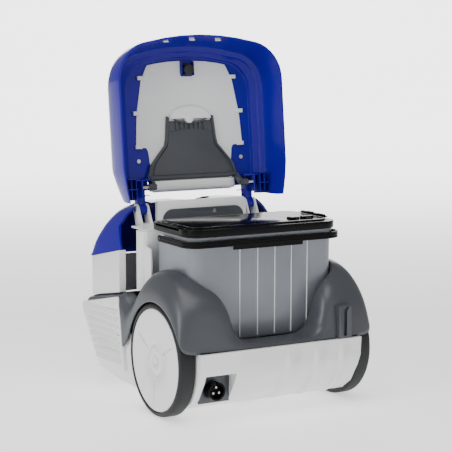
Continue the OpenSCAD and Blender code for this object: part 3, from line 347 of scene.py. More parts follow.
# %% Loft of the frame
# each station: wall foot, inner edge, inner slope, crest, shoulder, flank, lower edge (mm)
frame_stations = [
    [(0, -153.5, 130), (0, -153.5, 133.5), (0, -180, 133.5), (0, -203, 133.5), (0, -207, 131.5),
        (0, -207.4, 129), (0, -207.4, 127)],
    [(30, -153.5, 130), (30, -153.5, 133.5), (30, -180, 133.5), (30, -203, 133.5),
        (30, -207, 131.5), (30, -207.4, 129), (30, -207.4, 127)],
    [(55, -153.5, 130), (55, -153.5, 134), (55, -180, 134), (55, -202, 134), (56, -206.5, 132),
        (58, -207.4, 129.5), (60, -207.4, 127)],
    [(70, -153.5, 130), (70, -153.5, 141), (70, -179, 139.5), (70, -199, 138.5), (74, -205.5, 136),
        (79, -207.4, 131.5), (83, -207.4, 127)],
    [(80, -153.5, 130), (80, -153.5, 155), (80, -178, 151), (81, -196, 148), (88, -204.5, 143),
        (96, -207.3, 135), (102, -207.4, 127)],
    [(87, -153.5, 130), (86, -153.5, 175), (86.5, -177, 169), (88.5, -195.5, 163),
        (99, -204, 155), (112, -207, 141), (119, -207.2, 127)],
    [(92, -153.5, 130), (91, -153.5, 197), (91, -177, 191), (94, -197, 182), (110, -203.5, 170),
        (128, -206, 150), (135, -207, 127)],
    [(100, -153.5, 130), (99, -153.5, 215), (99, -175, 209), (102, -194, 201), (123, -201.5, 188),
        (144, -204.5, 160), (152, -206.6, 127)],
    [(112, -153.5, 130), (110, -153.5, 227), (111, -170, 223), (114, -186, 215), (138, -196.5, 203),
        (161, -201.5, 171), (168, -206, 127)],
    [(126, -152, 130), (124, -152, 235), (126, -163, 231), (131, -175, 224), (155, -189, 213),
        (178, -197, 180), (184, -203, 128)],
    [(138, -145, 130), (136, -145, 243), (140, -152, 240), (148, -163, 232.5), (169, -177, 220),
        (189, -189, 186), (194, -198, 136)],
    [(147, -134, 130), (146, -133, 251), (149, -138, 249), (157, -147, 242), (176, -161, 231),
        (192, -172, 198), (194.5, -187.5, 156.5)],
    [(149.5, -118, 130), (149, -117, 255), (153, -121, 254), (163, -128, 249), (179, -139, 240),
        (192.5, -150, 214), (194.5, -166, 180.6)],
    [(149.5, -100, 130), (149, -100, 255.5), (154, -103, 256), (166, -109, 253), (180, -116, 245),
        (192.5, -124, 222), (194.5, -135.5, 198)],
    [(149.5, -82, 130), (149, -82, 254.5), (154, -84, 256), (167, -87, 254), (180.5, -91, 246),
        (192, -95, 226), (194.5, -100, 204.4)],
    [(149.5, -60, 130), (149, -60, 250), (154, -60.5, 252), (167, -62, 250.5), (181, -64, 242),
        (192, -65, 221), (194.5, -64.5, 198)],
    [(149.5, -32, 130), (149, -32, 238), (155, -32.5, 239.5), (168, -34, 237), (182, -36, 226),
        (192, -37, 205), (194.5, -34.5, 180.6)],
    [(149.5, -6, 130), (149, -6, 212), (157, -6.5, 212.5), (170, -8, 208), (184, -10, 198),
        (193, -12, 180), (194.5, -13, 156.5)],
    [(152, 8, 130), (152, 7, 186), (162, 8, 186), (174, 9, 183), (186, 8, 176), (194, 4, 158),
        (195, -0.5, 132)],
    [(156, 16, 130), (156, 17, 178), (166, 18, 178), (178, 18.5, 176.5), (188, 18, 170),
        (194.5, 16, 146), (195.3, 12, 112)],
    [(158, 26, 150), (158, 27, 184), (168, 28, 184), (179, 28.5, 183), (189, 28, 177),
        (195, 27, 150), (195.5, 24, 100)],
    [(158, 38, 150), (158, 38, 193), (168, 39, 194), (180, 39.5, 193), (190, 39.5, 187.5),
        (195, 38, 160), (195.6, 33, 98)],
    [(158, 48, 150), (158, 48, 195.5), (168, 49, 196.5), (180, 50, 195), (191, 50, 190),
        (195.2, 49, 184), (187.2, 48, 181)],
    [(158, 120, 150), (158, 120, 182), (168, 120, 182.5), (181, 120, 181.5), (191, 120, 176.5),
        (195.2, 120, 171), (187.2, 120, 168)],
    [(158, 185, 140), (158, 185, 170), (168, 186, 170.5), (181, 187, 169.5), (191, 188, 165),
        (195.2, 189, 160), (187.2, 190, 157)],
    [(150, 195, 135), (150, 195, 167), (160, 198, 167.5), (174, 203, 166), (184, 208, 161.5),
        (187.5, 210, 150), (181, 205.5, 128)],
    [(130, 200, 132), (130, 200, 165), (137, 206, 165.5), (146, 210.5, 164.5), (153, 214, 160),
        (155, 214, 150), (152, 209.5, 127.4)],
    [(60, 200, 132), (60, 200, 164.5), (60, 206, 165), (60, 210.5, 164), (60, 214, 159),
        (60, 214, 150), (60, 209.5, 127.4)],
    [(0, 200, 132), (0, 200, 164.5), (0, 206, 165), (0, 210.5, 164), (0, 214, 159),
        (0, 214, 150), (0, 209.5, 127.4)]]


def chain(bm, points):
    """A row of vertices joined by edges, from points in millimetres."""
    verts = [bm.verts.new(Vector(p) * MM) for p in points]
    return [bm.edges.new(pair) for pair in zip(verts, verts[1:])]


def ring(bm, verts):
    """Joins the vertices by edges, and the last one to the first."""
    return [bm.edges.new((verts[i - 1], verts[i])) for i in range(len(verts))]


def bridge(bm, rows):
    """Bridges each row of edges to the next one."""
    for first, second in zip(rows, rows[1:]):
        bmesh.ops.bridge_loops(bm, edges=first + second)


def loft(rows):
    """A skin through rows of points."""
    bm = bmesh.new()
    bridge(bm, [chain(bm, row) for row in rows])
    return bm


def mirrored(bm):
    """Adds the other side of the machine and welds it along the middle."""
    bmesh.ops.mirror(bm, geom=bm.verts[:] + bm.edges[:] + bm.faces[:], merge_dist=0.0001, axis="X")
    bmesh.ops.remove_doubles(bm, verts=bm.verts, dist=0.0001)
    bmesh.ops.recalc_face_normals(bm, faces=bm.faces)


def closed_out(bm):
    """Makes the faces of a closed shape point outwards."""
    bmesh.ops.recalc_face_normals(bm, faces=bm.faces)
    if bm.calc_volume(signed=True) < 0:
        bmesh.ops.reverse_faces(bm, faces=bm.faces)


def stack(bm, rings):
    """A solid through rings of edges, with its two ends closed."""
    bridge(bm, rings)
    bmesh.ops.contextual_create(bm, geom=rings[0])
    bmesh.ops.contextual_create(bm, geom=rings[-1])
    closed_out(bm)


def facing_out(bm, point, direction):
    """Turns an open skin's faces if the one nearest to the point looks the wrong way."""
    near = min(bm.faces, key=lambda f: (f.calc_center_median() - Vector(point)).length)
    if near.normal.dot(Vector(direction)) < 0:
        bmesh.ops.reverse_faces(bm, faces=bm.faces)


bm = loft(frame_stations)
mirrored(bm)
facing_out(bm, (0.19, -0.09, 0.22), (1, 0, 0))
fender = keep("fender_frame", bm, ["body_frame"])
modify(fender, "SUBSURF", levels=3, render_levels=3)
modify(fender, "SOLIDIFY", thickness=2.6 * MM, offset=-1, use_even_offset=True)
print("stations:", len(frame_stations))

# %% [markdown]
# ## The lid's shell
# The lid is a deep blue tray. Outside, its wall rises from the rim and rolls over into a crowned
# top. Inside, a broad sloping wall steps twice down to the floor that holds the white panel.
# Rings of the lid's outline, each at its own depth, are bridged into an outer solid and an inner
# one, and the inner one is cut from the outer, which leaves the wall.

# %% Outline of the lid at one depth
LID_CORNER_STEPS = 9
LID_CORNER_SWEEP = 84
lid_frame = Matrix.Translation((0, 0.111, 0.337)) @ Matrix.Rotation(math.radians(-6), 4, "X")


def lid_point(x, v, w):
    """From the lid's own frame (across, outward, along) to the machine's, in metres."""
    return lid_frame @ Vector((x * MM, v * MM, w * MM))


def lid_ring(bm, v, half, top, corner, bow, low, foot, shoulder):
    """A closed outline of the lid: the low end is straight, the free end bowed."""
    side = [(low, foot), ((low + half) / 2 + 1, (foot + shoulder) / 2), (half, shoulder),
        (half, shoulder + (top - bow - corner - shoulder) * 0.5)]
    centre = (half - corner, top - bow - corner)
    for i in range(LID_CORNER_STEPS + 1):
        a = math.radians(LID_CORNER_SWEEP * i / LID_CORNER_STEPS)
        side.append((centre[0] + corner * math.cos(a), centre[1] + corner * math.sin(a)))
    last = side[-1]
    for t in (0.3, 0.62):
        side.append((last[0] * (1 - t), last[1] + (top - last[1]) * (1 - (1 - t) ** 2)))
    outline = side + [(0, top)] + [(-x, w) for x, w in reversed(side)]
    outline.append((-low * 0.5, foot))
    outline.append((low * 0.5, foot))
    verts = [bm.verts.new(lid_point(x, v, w)) for x, w in outline]
    return ring(bm, verts)


# depth, half width, top, corner radius, bow, low half width, foot, shoulder
lid_outside = [
    (48, 96, 232, 44, 5, 88, 120, 130), (47.6, 112, 250, 52, 7, 104, 112, 124),
    (45.5, 128, 268, 60, 8, 120, 102, 116), (40, 143, 285, 64, 9, 134, 86, 104),
    (31, 154.5, 298, 67, 10, 143, 68, 92), (18, 162.5, 308, 69, 11, 148, 44, 80),
    (2, 167.5, 315.5, 70, 12, 151, 19, 68), (-18, 170.5, 318.5, 71, 12, 157, 16, 70),
    (-40, 172.5, 320.5, 72, 12, 162, 14, 75), (-54.5, 173, 321, 72, 12, 163.5, 14, 77),
    (-56, 172.4, 320.4, 71.5, 12, 163, 14.6, 77)]
lid_inside = [
    (-58, 169.8, 318, 70, 12, 160.5, 5, 77), (-54, 169.2, 317.2, 70, 12, 160, 6, 77),
    (-30, 164, 312, 68, 12, 154, 8, 70), (-8, 159.5, 307, 64, 12, 148, 10, 66),
    (-1.5, 157.5, 304.5, 61, 12, 146, 12, 64), (0, 155.5, 302, 59, 12, 144, 14, 64),
    (0.4, 150, 296, 57, 12, 139, 16, 64), (1.2, 148.3, 294.4, 56, 12, 137, 18, 64),
    (4, 147.5, 293.6, 56, 12, 136, 19, 64), (5, 146, 292, 55, 11, 135, 20, 64),
    (5.3, 135, 286, 55, 10, 126, 24, 64), (6.2, 133.6, 284.8, 54, 10, 124, 26, 64),
    (11, 132.6, 284, 54, 10, 122, 28, 64), (12, 131, 282, 53, 10, 120, 30, 64)]


def lid_solid(rows):
    """A solid through the lid's outlines."""
    bm = bmesh.new()
    stack(bm, [lid_ring(bm, *row) for row in rows])
    return bm


shell = keep("lid_tray", lid_solid(lid_outside), ["lid_shell"])
print("lid rings:", len(lid_outside), len(lid_inside))


# %% Cutting one shape with another
def cutter(name, bm):
    """A helper solid for a cut. It isn't shown and goes once the cut is made."""
    closed_out(bm)
    return new_object(name, bm)


def cut(piece, tool, operation="DIFFERENCE"):
    """Cuts the piece with the tool, stores the result in its mesh and removes the tool."""
    modify(piece, "BOOLEAN", object=tool, operation=operation, solver="EXACT")
    bpy.context.view_layer.update()
    made = bpy.data.meshes.new_from_object(piece.evaluated_get(
        bpy.context.evaluated_depsgraph_get()))
    piece.modifiers.clear()
    piece.data = made
    made.shade_smooth()
    bpy.data.objects.remove(tool)
    print(piece.name, "after the cut:", len(made.polygons), "faces")


def box_tool(bm, low, high, place=None):
    """A block between two corners given in millimetres."""
    made = bmesh.ops.create_cube(bm, size=1)["verts"]
    low, high = Vector(low) * MM, Vector(high) * MM
    bmesh.ops.scale(bm, vec=high - low, verts=made)
    bmesh.ops.translate(bm, vec=(low + high) / 2, verts=made)
    if place:
        bmesh.ops.transform(bm, matrix=place, verts=made)


def side_box(bm, side, across, low, high, place=None):
    """The same kind of block on either side: its reach across, then its other two measures."""
    near, far = sorted(side * x for x in across)
    box_tool(bm, (near, *low), (far, *high), place)


def rod(bm, radius, length, centre, turn=math.pi / 2, segments=48, tip=None):
    """A round bar about its centre, in metres. It lies along X unless another turn is given."""
    made = bmesh.ops.create_cone(bm, cap_ends=True, segments=segments, radius1=radius,
        radius2=tip or radius, depth=length)["verts"]
    bmesh.ops.rotate(bm, cent=(0, 0, 0), matrix=Matrix.Rotation(turn, 3, "Y"), verts=made)
    bmesh.ops.translate(bm, vec=centre, verts=made)


def drawn_out(bm, points, push):
    """Draws a face through the points out by the push, and returns the vertices that moved."""
    face = bm.faces.new([bm.verts.new(p) for p in points])
    made = bmesh.ops.extrude_face_region(bm, geom=[face])["geom"]
    moved = [g for g in made if isinstance(g, bmesh.types.BMVert)]
    bmesh.ops.translate(bm, vec=push, verts=moved)
    return moved


# %% [markdown]
# Between the hinge arms the low end of the tray is open, and a hand fits through there. A plain
# block cuts that gap, and a bevel then softens the tray's sharp edges.

# %% Hollow, hand gap and edge softening
cut(shell, cutter("lid_hollow", lid_solid(lid_inside)))
bm = bmesh.new()
box_tool(bm, (-93.5, -70, -20), (93.5, 70, 52), lid_frame)
cut(shell, cutter("gap", bm))
rounding(shell, 0.8, 50)
modify(shell, "WEIGHTED_NORMAL", keep_sharp=True)
print("lid hollowed and hand gap cut")

# %% [markdown]
# ## The nose cover
# The blue nose is a soft dome over the outlet. Its outline shrinks and its corners grow rounder as
# it rises. Rings at rising heights are bridged and closed into a solid, and a smaller solid of the
# same kind is cut out of it, which leaves the wall. The back is trimmed along the slanting edge
# that meets the lid, and the outlet and the two notches for the hinge arms are cut.

# %% Rings of a rounded rectangle
CORNER_STEPS = 8


def rect_ring(bm, low, high, corner, z):
    """A closed rounded outline at height z, from corner low to corner high, in millimetres."""
    verts = []
    for k, (x, y) in enumerate(((high[0] - corner, high[1] - corner),
            (low[0] + corner, high[1] - corner), (low[0] + corner, low[1] + corner),
            (high[0] - corner, low[1] + corner))):
        for i in range(CORNER_STEPS + 1):
            a = math.radians(90 * k + 90 * i / CORNER_STEPS)
            verts.append(bm.verts.new(Vector((x + corner * math.cos(a), y + corner * math.sin(a),
                z)) * MM))
    return ring(bm, verts)


# half width, front, corner radius, height
nose_rings = [(188.4, 217, 46, 226), (188.4, 217, 46, 247), (186.6, 215.6, 47, 251),
    (184.4, 214.6, 49, 262), (181, 213.6, 51, 273), (176.5, 212, 54, 284), (171.5, 210, 56, 294),
    (165.5, 206.8, 58, 305), (159.5, 202.5, 60, 315), (153, 197, 61, 324), (146.5, 190.5, 62, 332),
    (139, 182, 62, 339), (130.5, 172, 62, 344.5), (120, 160, 60, 348.5), (107, 146, 52, 350.6),
    (90, 130, 40, 351)]
bm = bmesh.new()
stack(bm, [rect_ring(bm, (-h, -10), (h, y), r, z) for h, y, r, z in nose_rings])
nose = keep("nose_dome", bm, ["nose_cover"])
print("nose rings:", len(nose_rings))


# %% Cut the nose to its edges and hollow it
NOSE_WALL = 3
bm = bmesh.new()
inner = [(h - NOSE_WALL, y - NOSE_WALL, r - NOSE_WALL, z - (NOSE_WALL if z > 300 else 1))
    for h, y, r, z in nose_rings]
stack(bm, [rect_ring(bm, (-h, -20), (h, y), r, z) for h, y, r, z in inner])
cut(nose, cutter("nose_inside", bm))
bm = bmesh.new()
side_outline = [(59, 272), (75, 269.3), (199, 242.3), (232, 241), (232, 360), (98.6, 360),
    (98.6, 350), (101, 347), (105.5, 341), (107.2, 333), (107.3, 308), (98, 301.5)]
drawn_out(bm, [Vector((-200, y, z)) * MM for y, z in side_outline], (400 * MM, 0, 0))
cut(nose, cutter("nose_side", bm), "INTERSECT")
bm = bmesh.new()
rod(bm, 0.043, 0.1, (0, 0.147, 0.36), turn=0, segments=64)
cut(nose, cutter("outlet_hole", bm))
for side in (-1, 1):
    bm = bmesh.new()
    side_box(bm, side, (100.5, 129.5), (0, 316), (134, 400))
    cut(nose, cutter("hinge_notch", bm))
rounding(nose, 0.7, 40)
print("nose cut to its edges")

# %% [markdown]
# ## Wheels
# A tyre and its cap are turned shapes, so each is the spin of a short profile round the axle. The
# tyre is smooth with a rounded shoulder. The cap is slightly dished, with a faint ring in the
# middle and a plug over the axle, and three cuts make its long radial slots.

# %% Spun shapes
def spun(profile, centre, steps):
    """Turns a closed profile of (radius, x) points round the X axis through the centre."""
    bm = bmesh.new()
    verts = [bm.verts.new(Vector((x, centre[0] + r, centre[1])) * MM) for r, x in profile]
    edges = ring(bm, verts)
    bmesh.ops.spin(bm, geom=verts + edges, cent=(0, centre[0] * MM, centre[1] * MM),
        axis=(1, 0, 0), angle=math.tau, steps=steps, use_merge=True)
    bmesh.ops.remove_doubles(bm, verts=bm.verts, dist=0.00001)
    closed_out(bm)
    return bm


axle = (-100, 100)
tyre_profile = [(91, 164), (95.5, 164), (98, 164.8), (99.4, 166.4), (100, 169), (100, 176),
    (100, 184), (99.8, 188), (98.9, 191), (97, 193.1), (94.2, 194), (91.6, 193.8), (91, 193)]
cap_profile = [(8, 189.2), (8, 192.2), (25.2, 192.5), (25.8, 191.5), (27.2, 191.5), (27.8, 192.6),
    (60, 193.3), (82, 193.5), (88, 193.2), (90, 192.4), (90.5, 191.2), (90.5, 189.2)]
for side, name in ((-1, "left"), (1, "right")):
    tyre = keep("tyre_moulding_" + name,
        spun([(r, side * x) for r, x in tyre_profile], axle, 128), ["tyre_" + name])
    rounding(tyre, 0.5)
    cap = keep("cap_moulding_" + name,
        spun([(r, side * x) for r, x in cap_profile], axle, 128), ["hub_cap_" + name])
    for angle in (62, 182, 302):
        bm = bmesh.new()
        box_tool(bm, (-4.6, -1.8, 36), (4.6, 1.8, 70))
        bmesh.ops.bevel(bm, geom=bm.edges[:], affect="EDGES", offset=1.2 * MM, segments=3,
            profile=0.5, material=-1)
        turn = Matrix.Translation(Vector((side * 195, axle[0], axle[1])) * MM)
        bmesh.ops.transform(bm, matrix=turn @ Matrix.Rotation(math.radians(angle), 4, "X"),
            verts=bm.verts)
        cut(cap, cutter("cap_slot", bm))
    # the plug that closes the middle of the cap
    keep("cap_plug_" + name, spun([(0.01, side * 191), (0.01, side * 192.6),
        (6.4, side * 192.5), (7.4, side * 192.2), (7.9, side * 191.4), (7.9, side * 191)], axle, 48),
        ["hub_cap_" + name], hide=False)
print("wheels turned")

# %% [markdown]
# ## The base's rear face
# The white base is the node with rounded edges. Its rear carries three raised bands that stiffen
# the wall, so a thin moulded skin lies over it: a side profile is swept across the rear in narrow
# steps, and a smooth offset lifts the bands. The skin stops at the socket's pocket.

# %% Rear skin with raised bands
BANDS = ((8, 44), (66, 98), (118, 146))
BAND_HEIGHT = 10
rounded("base_shell", 1.2)
rear_profile = [(-214.6, 125.5), (-213.9, 118), (-213.2, 106), (-212.6, 96), (-208.5, 85),
    (-203.8, 75.5), (-197.5, 65), (-190, 53.5), (-181.5, 41.2), (-172, 34), (-160, 25.4)]


def smooth_step(t):
    """Rises softly from 0 to 1."""
    t = max(0.0, min(1.0, t))
    return t * t * (3 - 2 * t)


def band_lift(x, along):
    """Height of the raised bands, in millimetres; they lean a little as they go down."""
    lift = 0
    lean = x + 9 * along
    for left, right in BANDS:
        rise = smooth_step((lean - left) / 4) * smooth_step((right - lean) / 20)
        lift = max(lift, rise)
    ends = smooth_step((along - 0.06) / 0.3) * (1 - 0.45 * smooth_step((along - 0.7) / 0.3))
    return BAND_HEIGHT * lift * ends


def rear_skin(x0, x1, step):
    """The rear profile, repeated across from x0 to x1 and lifted over the bands."""
    rows = []
    count = round((x1 - x0) / step)
    for i in range(count + 1):
        x = x0 + (x1 - x0) * i / count
        row = []
        for k, (y, z) in enumerate(rear_profile):
            along = k / (len(rear_profile) - 1)
            lift = band_lift(x, along) + 0.6
            row.append((x, y - lift * (0.95 - 0.35 * along), z - lift * 0.6 * along))
        rows.append(row)
    bm = loft(rows)
    bmesh.ops.recalc_face_normals(bm, faces=bm.faces)
    facing_out(bm, ((x0 + x1) / 2 * MM, -0.22, 0.1), (0, -1, 0))
    return bm


skin = keep("base_rear_skin", rear_skin(-86, 160, 3), ["base_shell"], hide=False)
modify(skin, "SOLIDIFY", thickness=1.6 * MM, offset=-1)
modify(skin, "SUBSURF", levels=1, render_levels=1)
rounding(skin, 0.5, 50, harden_normals=False)
print("rear skin swept")

# %% [markdown]
# ## The debris bin
# The bin is a drafted box: a little narrower at its floor, with round corners that tighten
# downwards. Rings are bridged up the outside and an inner solid is cut away, which leaves a thin
# wall that light passes through. The outlet and inlet are cut too. Five pale ribs stand on the
# rear wall, small tabs and blocks sit by the rim, and a flange carries the lid.

# %% Bin walls
bin_outside = [(-140, 140, -146.5, -4, 20, 132), (-142.5, 142.5, -148, -3, 22, 135),
    (-143.5, 143.5, -149, -2.6, 24, 180), (-145, 145, -149.6, -2.2, 25, 250),
    (-146, 146, -150, -2, 26, 309), (-146.4, 146.4, -150.4, -2, 26, 311),
    (-150, 150, -154, -1, 30, 312), (-150, 150, -154, -0.6, 30, 316.4),
    (-149.5, 149.5, -153.5, -1, 29.5, 317)]
bin_inside = [(-138, 138, -143.5, -7, 18, 135), (-141, 141, -146.5, -5, 22, 150),
    (-143.2, 143.2, -147.2, -4.6, 23, 250), (-143.6, 143.6, -147.6, -4.5, 23.5, 320)]


def boxy(rows):
    """A solid through rows of (x0, x1, y0, y1, corner, z)."""
    bm = bmesh.new()
    stack(bm, [rect_ring(bm, (x0, y0), (x1, y1), r, z) for x0, x1, y0, y1, r, z in rows])
    return bm


bin_piece = keep("bin_walls", boxy(bin_outside), ["canister_bin"])
cut(bin_piece, cutter("bin_hollow", boxy(bin_inside)))
for low, high in (((-96, -8, 162), (96, 4, 274)), ((-29, -69, 120), (29, -11, 140))):
    bm = bmesh.new()
    box_tool(bm, low, high)
    cut(bin_piece, cutter("bin_window", bm))
bm = bmesh.new()
for x in (-51, -15, 20, 54, 87):
    box_tool(bm, (x - 0.8, -150.7, 136), (x + 0.8, -144.5, 308))
for side in (-1, 1):
    for x in (52, 72):
        side_box(bm, side, (x, x + 5), (-1.5, 312.5), (12.5, 325))
    side_box(bm, side, (145.5, 154), (-57, 299.8), (-41, 312))
ribs = keep("bin_ribs", bm, ["canister_bin"], slot="light_grey_plastic", hide=False)
rounding(ribs, 0.5, 40, harden_normals=False)
rounding(bin_piece, 0.6)
print("bin made")

# %% [markdown]
# ## The white panel in the lid
# The panel is a plate with a bowed top, a notch there for the bumper, and six small tabs. A half-round
# boss stands out of its middle over the flap, with a round stud under it. Each flat shape is an
# outline drawn in the lid's plane, thickened along the lid's depth and given rounded edges.

# %% Plates in the lid's plane
def lid_plate(bm, outline, v0, v1, soften=0.0):
    """An outline of (across, along) points between two depths of the lid, in millimetres."""
    moved = drawn_out(bm, [lid_point(x, v0, w) for x, w in outline],
        lid_point(0, v1, 0) - lid_point(0, v0, 0))
    bmesh.ops.recalc_face_normals(bm, faces=bm.faces)
    if soften:
        rim = {e for vert in moved for e in vert.link_edges if all(x in moved for x in e.verts)}
        bmesh.ops.bevel(bm, geom=list(rim), affect="EDGES", offset=soften * MM, segments=3,
            profile=0.5, material=-1)


def both_sides(half):
    """Adds the mirror image of an outline's right half, from its last point back to its first."""
    return half + [(-x, w) for x, w in reversed(half)]


def arc(centre, across, along, angles):
    """Points on an ellipse with these half measures, at angles in degrees."""
    return [(centre[0] + across * math.cos(math.radians(a)),
        centre[1] + along * math.sin(math.radians(a))) for a in angles]


bm = bmesh.new()
lid_plate(bm, both_sides([(84, 30), (84, 52), (90, 108), (93, 114), (112, 117), (114, 121),
    (110, 176), (98, 240), (86, 265), (83, 269.5), (66, 272.8), (40, 276), (13.5, 277.2),
    (13.5, 250), (11, 248)]), 12, 9.5)
panel = keep("lid_panel_plate", bm, ["lid_panel"])
rounding(panel, 0.9)
bm = bmesh.new()
lid_plate(bm, arc((0, 167), 44, 24, range(0, 181, 9)), 10, 1, 2.2)
lid_plate(bm, arc((-4, 167), 8.5, 8.5, range(0, 360, 15)), 8, -1.5, 1.4)
for side in (-1, 1):
    for x, w in ((98, 246), (110, 180), (109, 117)):
        lid_plate(bm, [(side * x - 7, w - 4), (side * x + 7, w - 4), (side * x + 7, w + 3.5),
            (side * x - 7, w + 3.5)], 11, 6.5, 0.9)
boss = keep("lid_panel_boss", bm, ["lid_panel"], hide=False)
rounding(boss, 0.4)
print("panel, boss, stud and tabs")

# %% [markdown]
# Below the flap the panel rolls into a bar that bridges the hinge arms. Its section is a channel
# whose ends taper in, lofted from nine sections and thickened.

# %% Rolled bar
sections = []
for x, shrink in ((-92, 0.35), (-89, 0.7), (-82, 0.93), (-70, 1), (0, 1), (70, 1), (82, 0.93),
        (89, 0.7), (92, 0.35)):
    section = [(10.5, 52), (7, 52.4), (4, 51.6), (2.4, 48.5), (1.9, 44), (2.2, 39), (3.2, 34.5),
        (5.5, 31.6), (8, 30.8), (10.5, 31.2)]
    sections.append([lid_point(x, 10.5 + (v - 10.5) * shrink, 42 + (w - 42) * (0.75 + 0.25 * shrink))
        / MM for v, w in section])
bm = loft(sections)
bmesh.ops.recalc_face_normals(bm, faces=bm.faces)
facing_out(bm, lid_point(0, 1.9, 44), lid_frame.to_3x3() @ Vector((0, -1, 0)))
bar = keep("lid_rolled_bar", bm, ["lid_panel"], hide=False)
modify(bar, "SUBSURF", levels=2, render_levels=2)
modify(bar, "SOLIDIFY", thickness=1.8 * MM, offset=-1)
print("rolled bar lofted")

# %% [markdown]
# ## Ribs in the lid
# Blue ribs stiffen the corners by the hinge and make dark boxes there, a small bracket frames the
# rubber bumper, and three pale catches sit in the rim's free end.

# %% Corner ribs, bumper bracket and rim catches
bm = bmesh.new()
for side in (-1, 1):
    for x in (131.5, 141):
        side_box(bm, side, (x, x + 2), (-22, 18), (4, 57), lid_frame)
    for w in (18, 37, 56):
        side_box(bm, side, (130.6, 150), (-24, w), (4, w + 2.2), lid_frame)
    side_box(bm, side, (96, 109), (-14, 55), (9, 57.2), lid_frame)
for x0, x1 in ((-13.4, -11.4), (11.4, 13.4)):
    box_tool(bm, (x0, 3, 249), (x1, 12, 276), lid_frame)
box_tool(bm, (-13.4, 3, 249), (13.4, 12, 251), lid_frame)
box_tool(bm, (-13.4, 8, 272), (13.4, 12, 276), lid_frame)
braces = keep("lid_corner_ribs", bm, ["lid_shell"], hide=False)
rounding(braces, 0.5)
bm = bmesh.new()
for x, w in ((-71, 307), (-16, 310), (39, 309)):
    box_tool(bm, (x - 5, -50, w), (x + 5, -47.5, w + 5.5), lid_frame)
    box_tool(bm, (x - 5, -53, w), (x + 5, -47.5, w + 1.8), lid_frame)
catches = keep("lid_rim_catches", bm, ["lid_panel"], hide=False)
rounding(catches, 0.5)
rounded("lid_bumper", 1.6)
print("ribs and catches")

# %% [markdown]
# ## The hold-down flap
# The flap is a dark moulded plate. It has raised edges along its sloping sides, a main face whose
# top is an arc, short upright ribs in the recess above that arc, a crescent over them, and a
# rolled lower edge. Two arms run from its lower corners out to the pins it swings on.

# %% Flap plate, face and ribs
outline = both_sides([(90, 53), (96, 60), (88.5, 81), (78.5, 93), (57, 118), (54, 130), (50, 172.5),
    (45.6, 172.5), (44.5, 163)])
bm = bmesh.new()
lid_plate(bm, outline, 9, 6.8)
flap = keep("flap_plate", bm, ["hold_down_flap"])
rounding(flap, 0.5)
bm = bmesh.new()
arc_top = [(48 - 6 * i, 140 + 8.5 * (1 - ((48 - 6 * i) / 48) ** 2)) for i in range(17)]
lid_plate(bm, [(-84, 61), (84, 61), (79, 80), (71, 92), (51, 116)] + arc_top
    + [(-51, 116), (-71, 92), (-79, 80)], 7, 4.6, 1.6)
for side in (-1, 1):
    edge = [(49.9, 172), (54, 130), (57, 118), (78.5, 93), (88.5, 81), (95.5, 60)]
    inner = [(x - 4.6, w - 1) for x, w in edge]
    lid_plate(bm, [(side * x, w) for x, w in edge + inner[::-1]], 7, 3, 1.0)
for x in (-30, -20, -10, 0, 10, 20, 30):
    lid_plate(bm, [(x - 1.6, 146), (x + 1.6, 146), (x + 1.9, 163), (x - 1.9, 163)], 7, 3.8, 0.7)
crescent = arc((0, 169), 36, 11, range(180, 361, 15)) + arc((0, 169), 36, 6.5, range(345, 180, -15))
lid_plate(bm, crescent, 7, 2.4, 0.8)
detail = keep("flap_face", bm, ["hold_down_flap"], hide=False)
rounding(detail, 0.3)
print("flap face, ribs and crescent")

# %% Rolled edge, arms and knuckles of the flap
FLAP_PIN = (-17, 41)
arm_side = [(-21.5, 37.5), (-17, 35), (-11, 37.5), (5, 51.5), (8.5, 54), (8.5, 60.5), (3, 60.5),
    (-3, 57), (-18, 46.8), (-21.5, 44)]
rows = []
for x in (-93, -88, -60, 0, 60, 88, 93):
    dip = 1.5 if abs(x) < 90 else 0
    rows.append([lid_point(x, v, w) / MM for v, w in ((8.6, 61.5), (5.2, 61.8), (3.2 - dip, 60),
        (2.4 - dip, 57), (3.0 - dip, 54), (5.5, 52.6), (8.8, 52.6))])
bm = loft(rows)
bmesh.ops.recalc_face_normals(bm, faces=bm.faces)
facing_out(bm, lid_point(0, 1, 57), lid_frame.to_3x3() @ Vector((0, -1, 0)))
lip = keep("flap_lower_lip", bm, ["hold_down_flap"], hide=False)
modify(lip, "SUBSURF", levels=2, render_levels=2)
modify(lip, "SOLIDIFY", thickness=1.2 * MM, offset=-1)
for side, name in ((-1, "left"), (1, "right")):
    bm = bmesh.new()
    drawn_out(bm, [lid_point(side * 90, v, w) for v, w in arm_side], (side * 7 * MM, 0, 0))
    closed_out(bm)
    arm = keep("flap_arm_" + name, bm, ["hold_down_flap"], hide=False)
    knuckle = bmesh.new()
    rod(knuckle, 0.0062, 0.0118, lid_point(side * 100, *FLAP_PIN))
    cut(arm, cutter("knuckle", knuckle), "UNION")
    bore = bmesh.new()
    rod(bore, 0.00305, 0.03, lid_point(side * 98, *FLAP_PIN))
    cut(arm, cutter("pin_bore", bore))
    rounding(arm, 0.6)
print("flap arms made")

# %% [markdown]
# ## The canister's lid, latches and handle
# The black lid keeps its node's shape with rounded edges. Each latch carries a lever with thumb
# ridges. The handle is a channelled band: rings at each step of its section are bridged round
# and closed on themselves, and the open front is cut off.

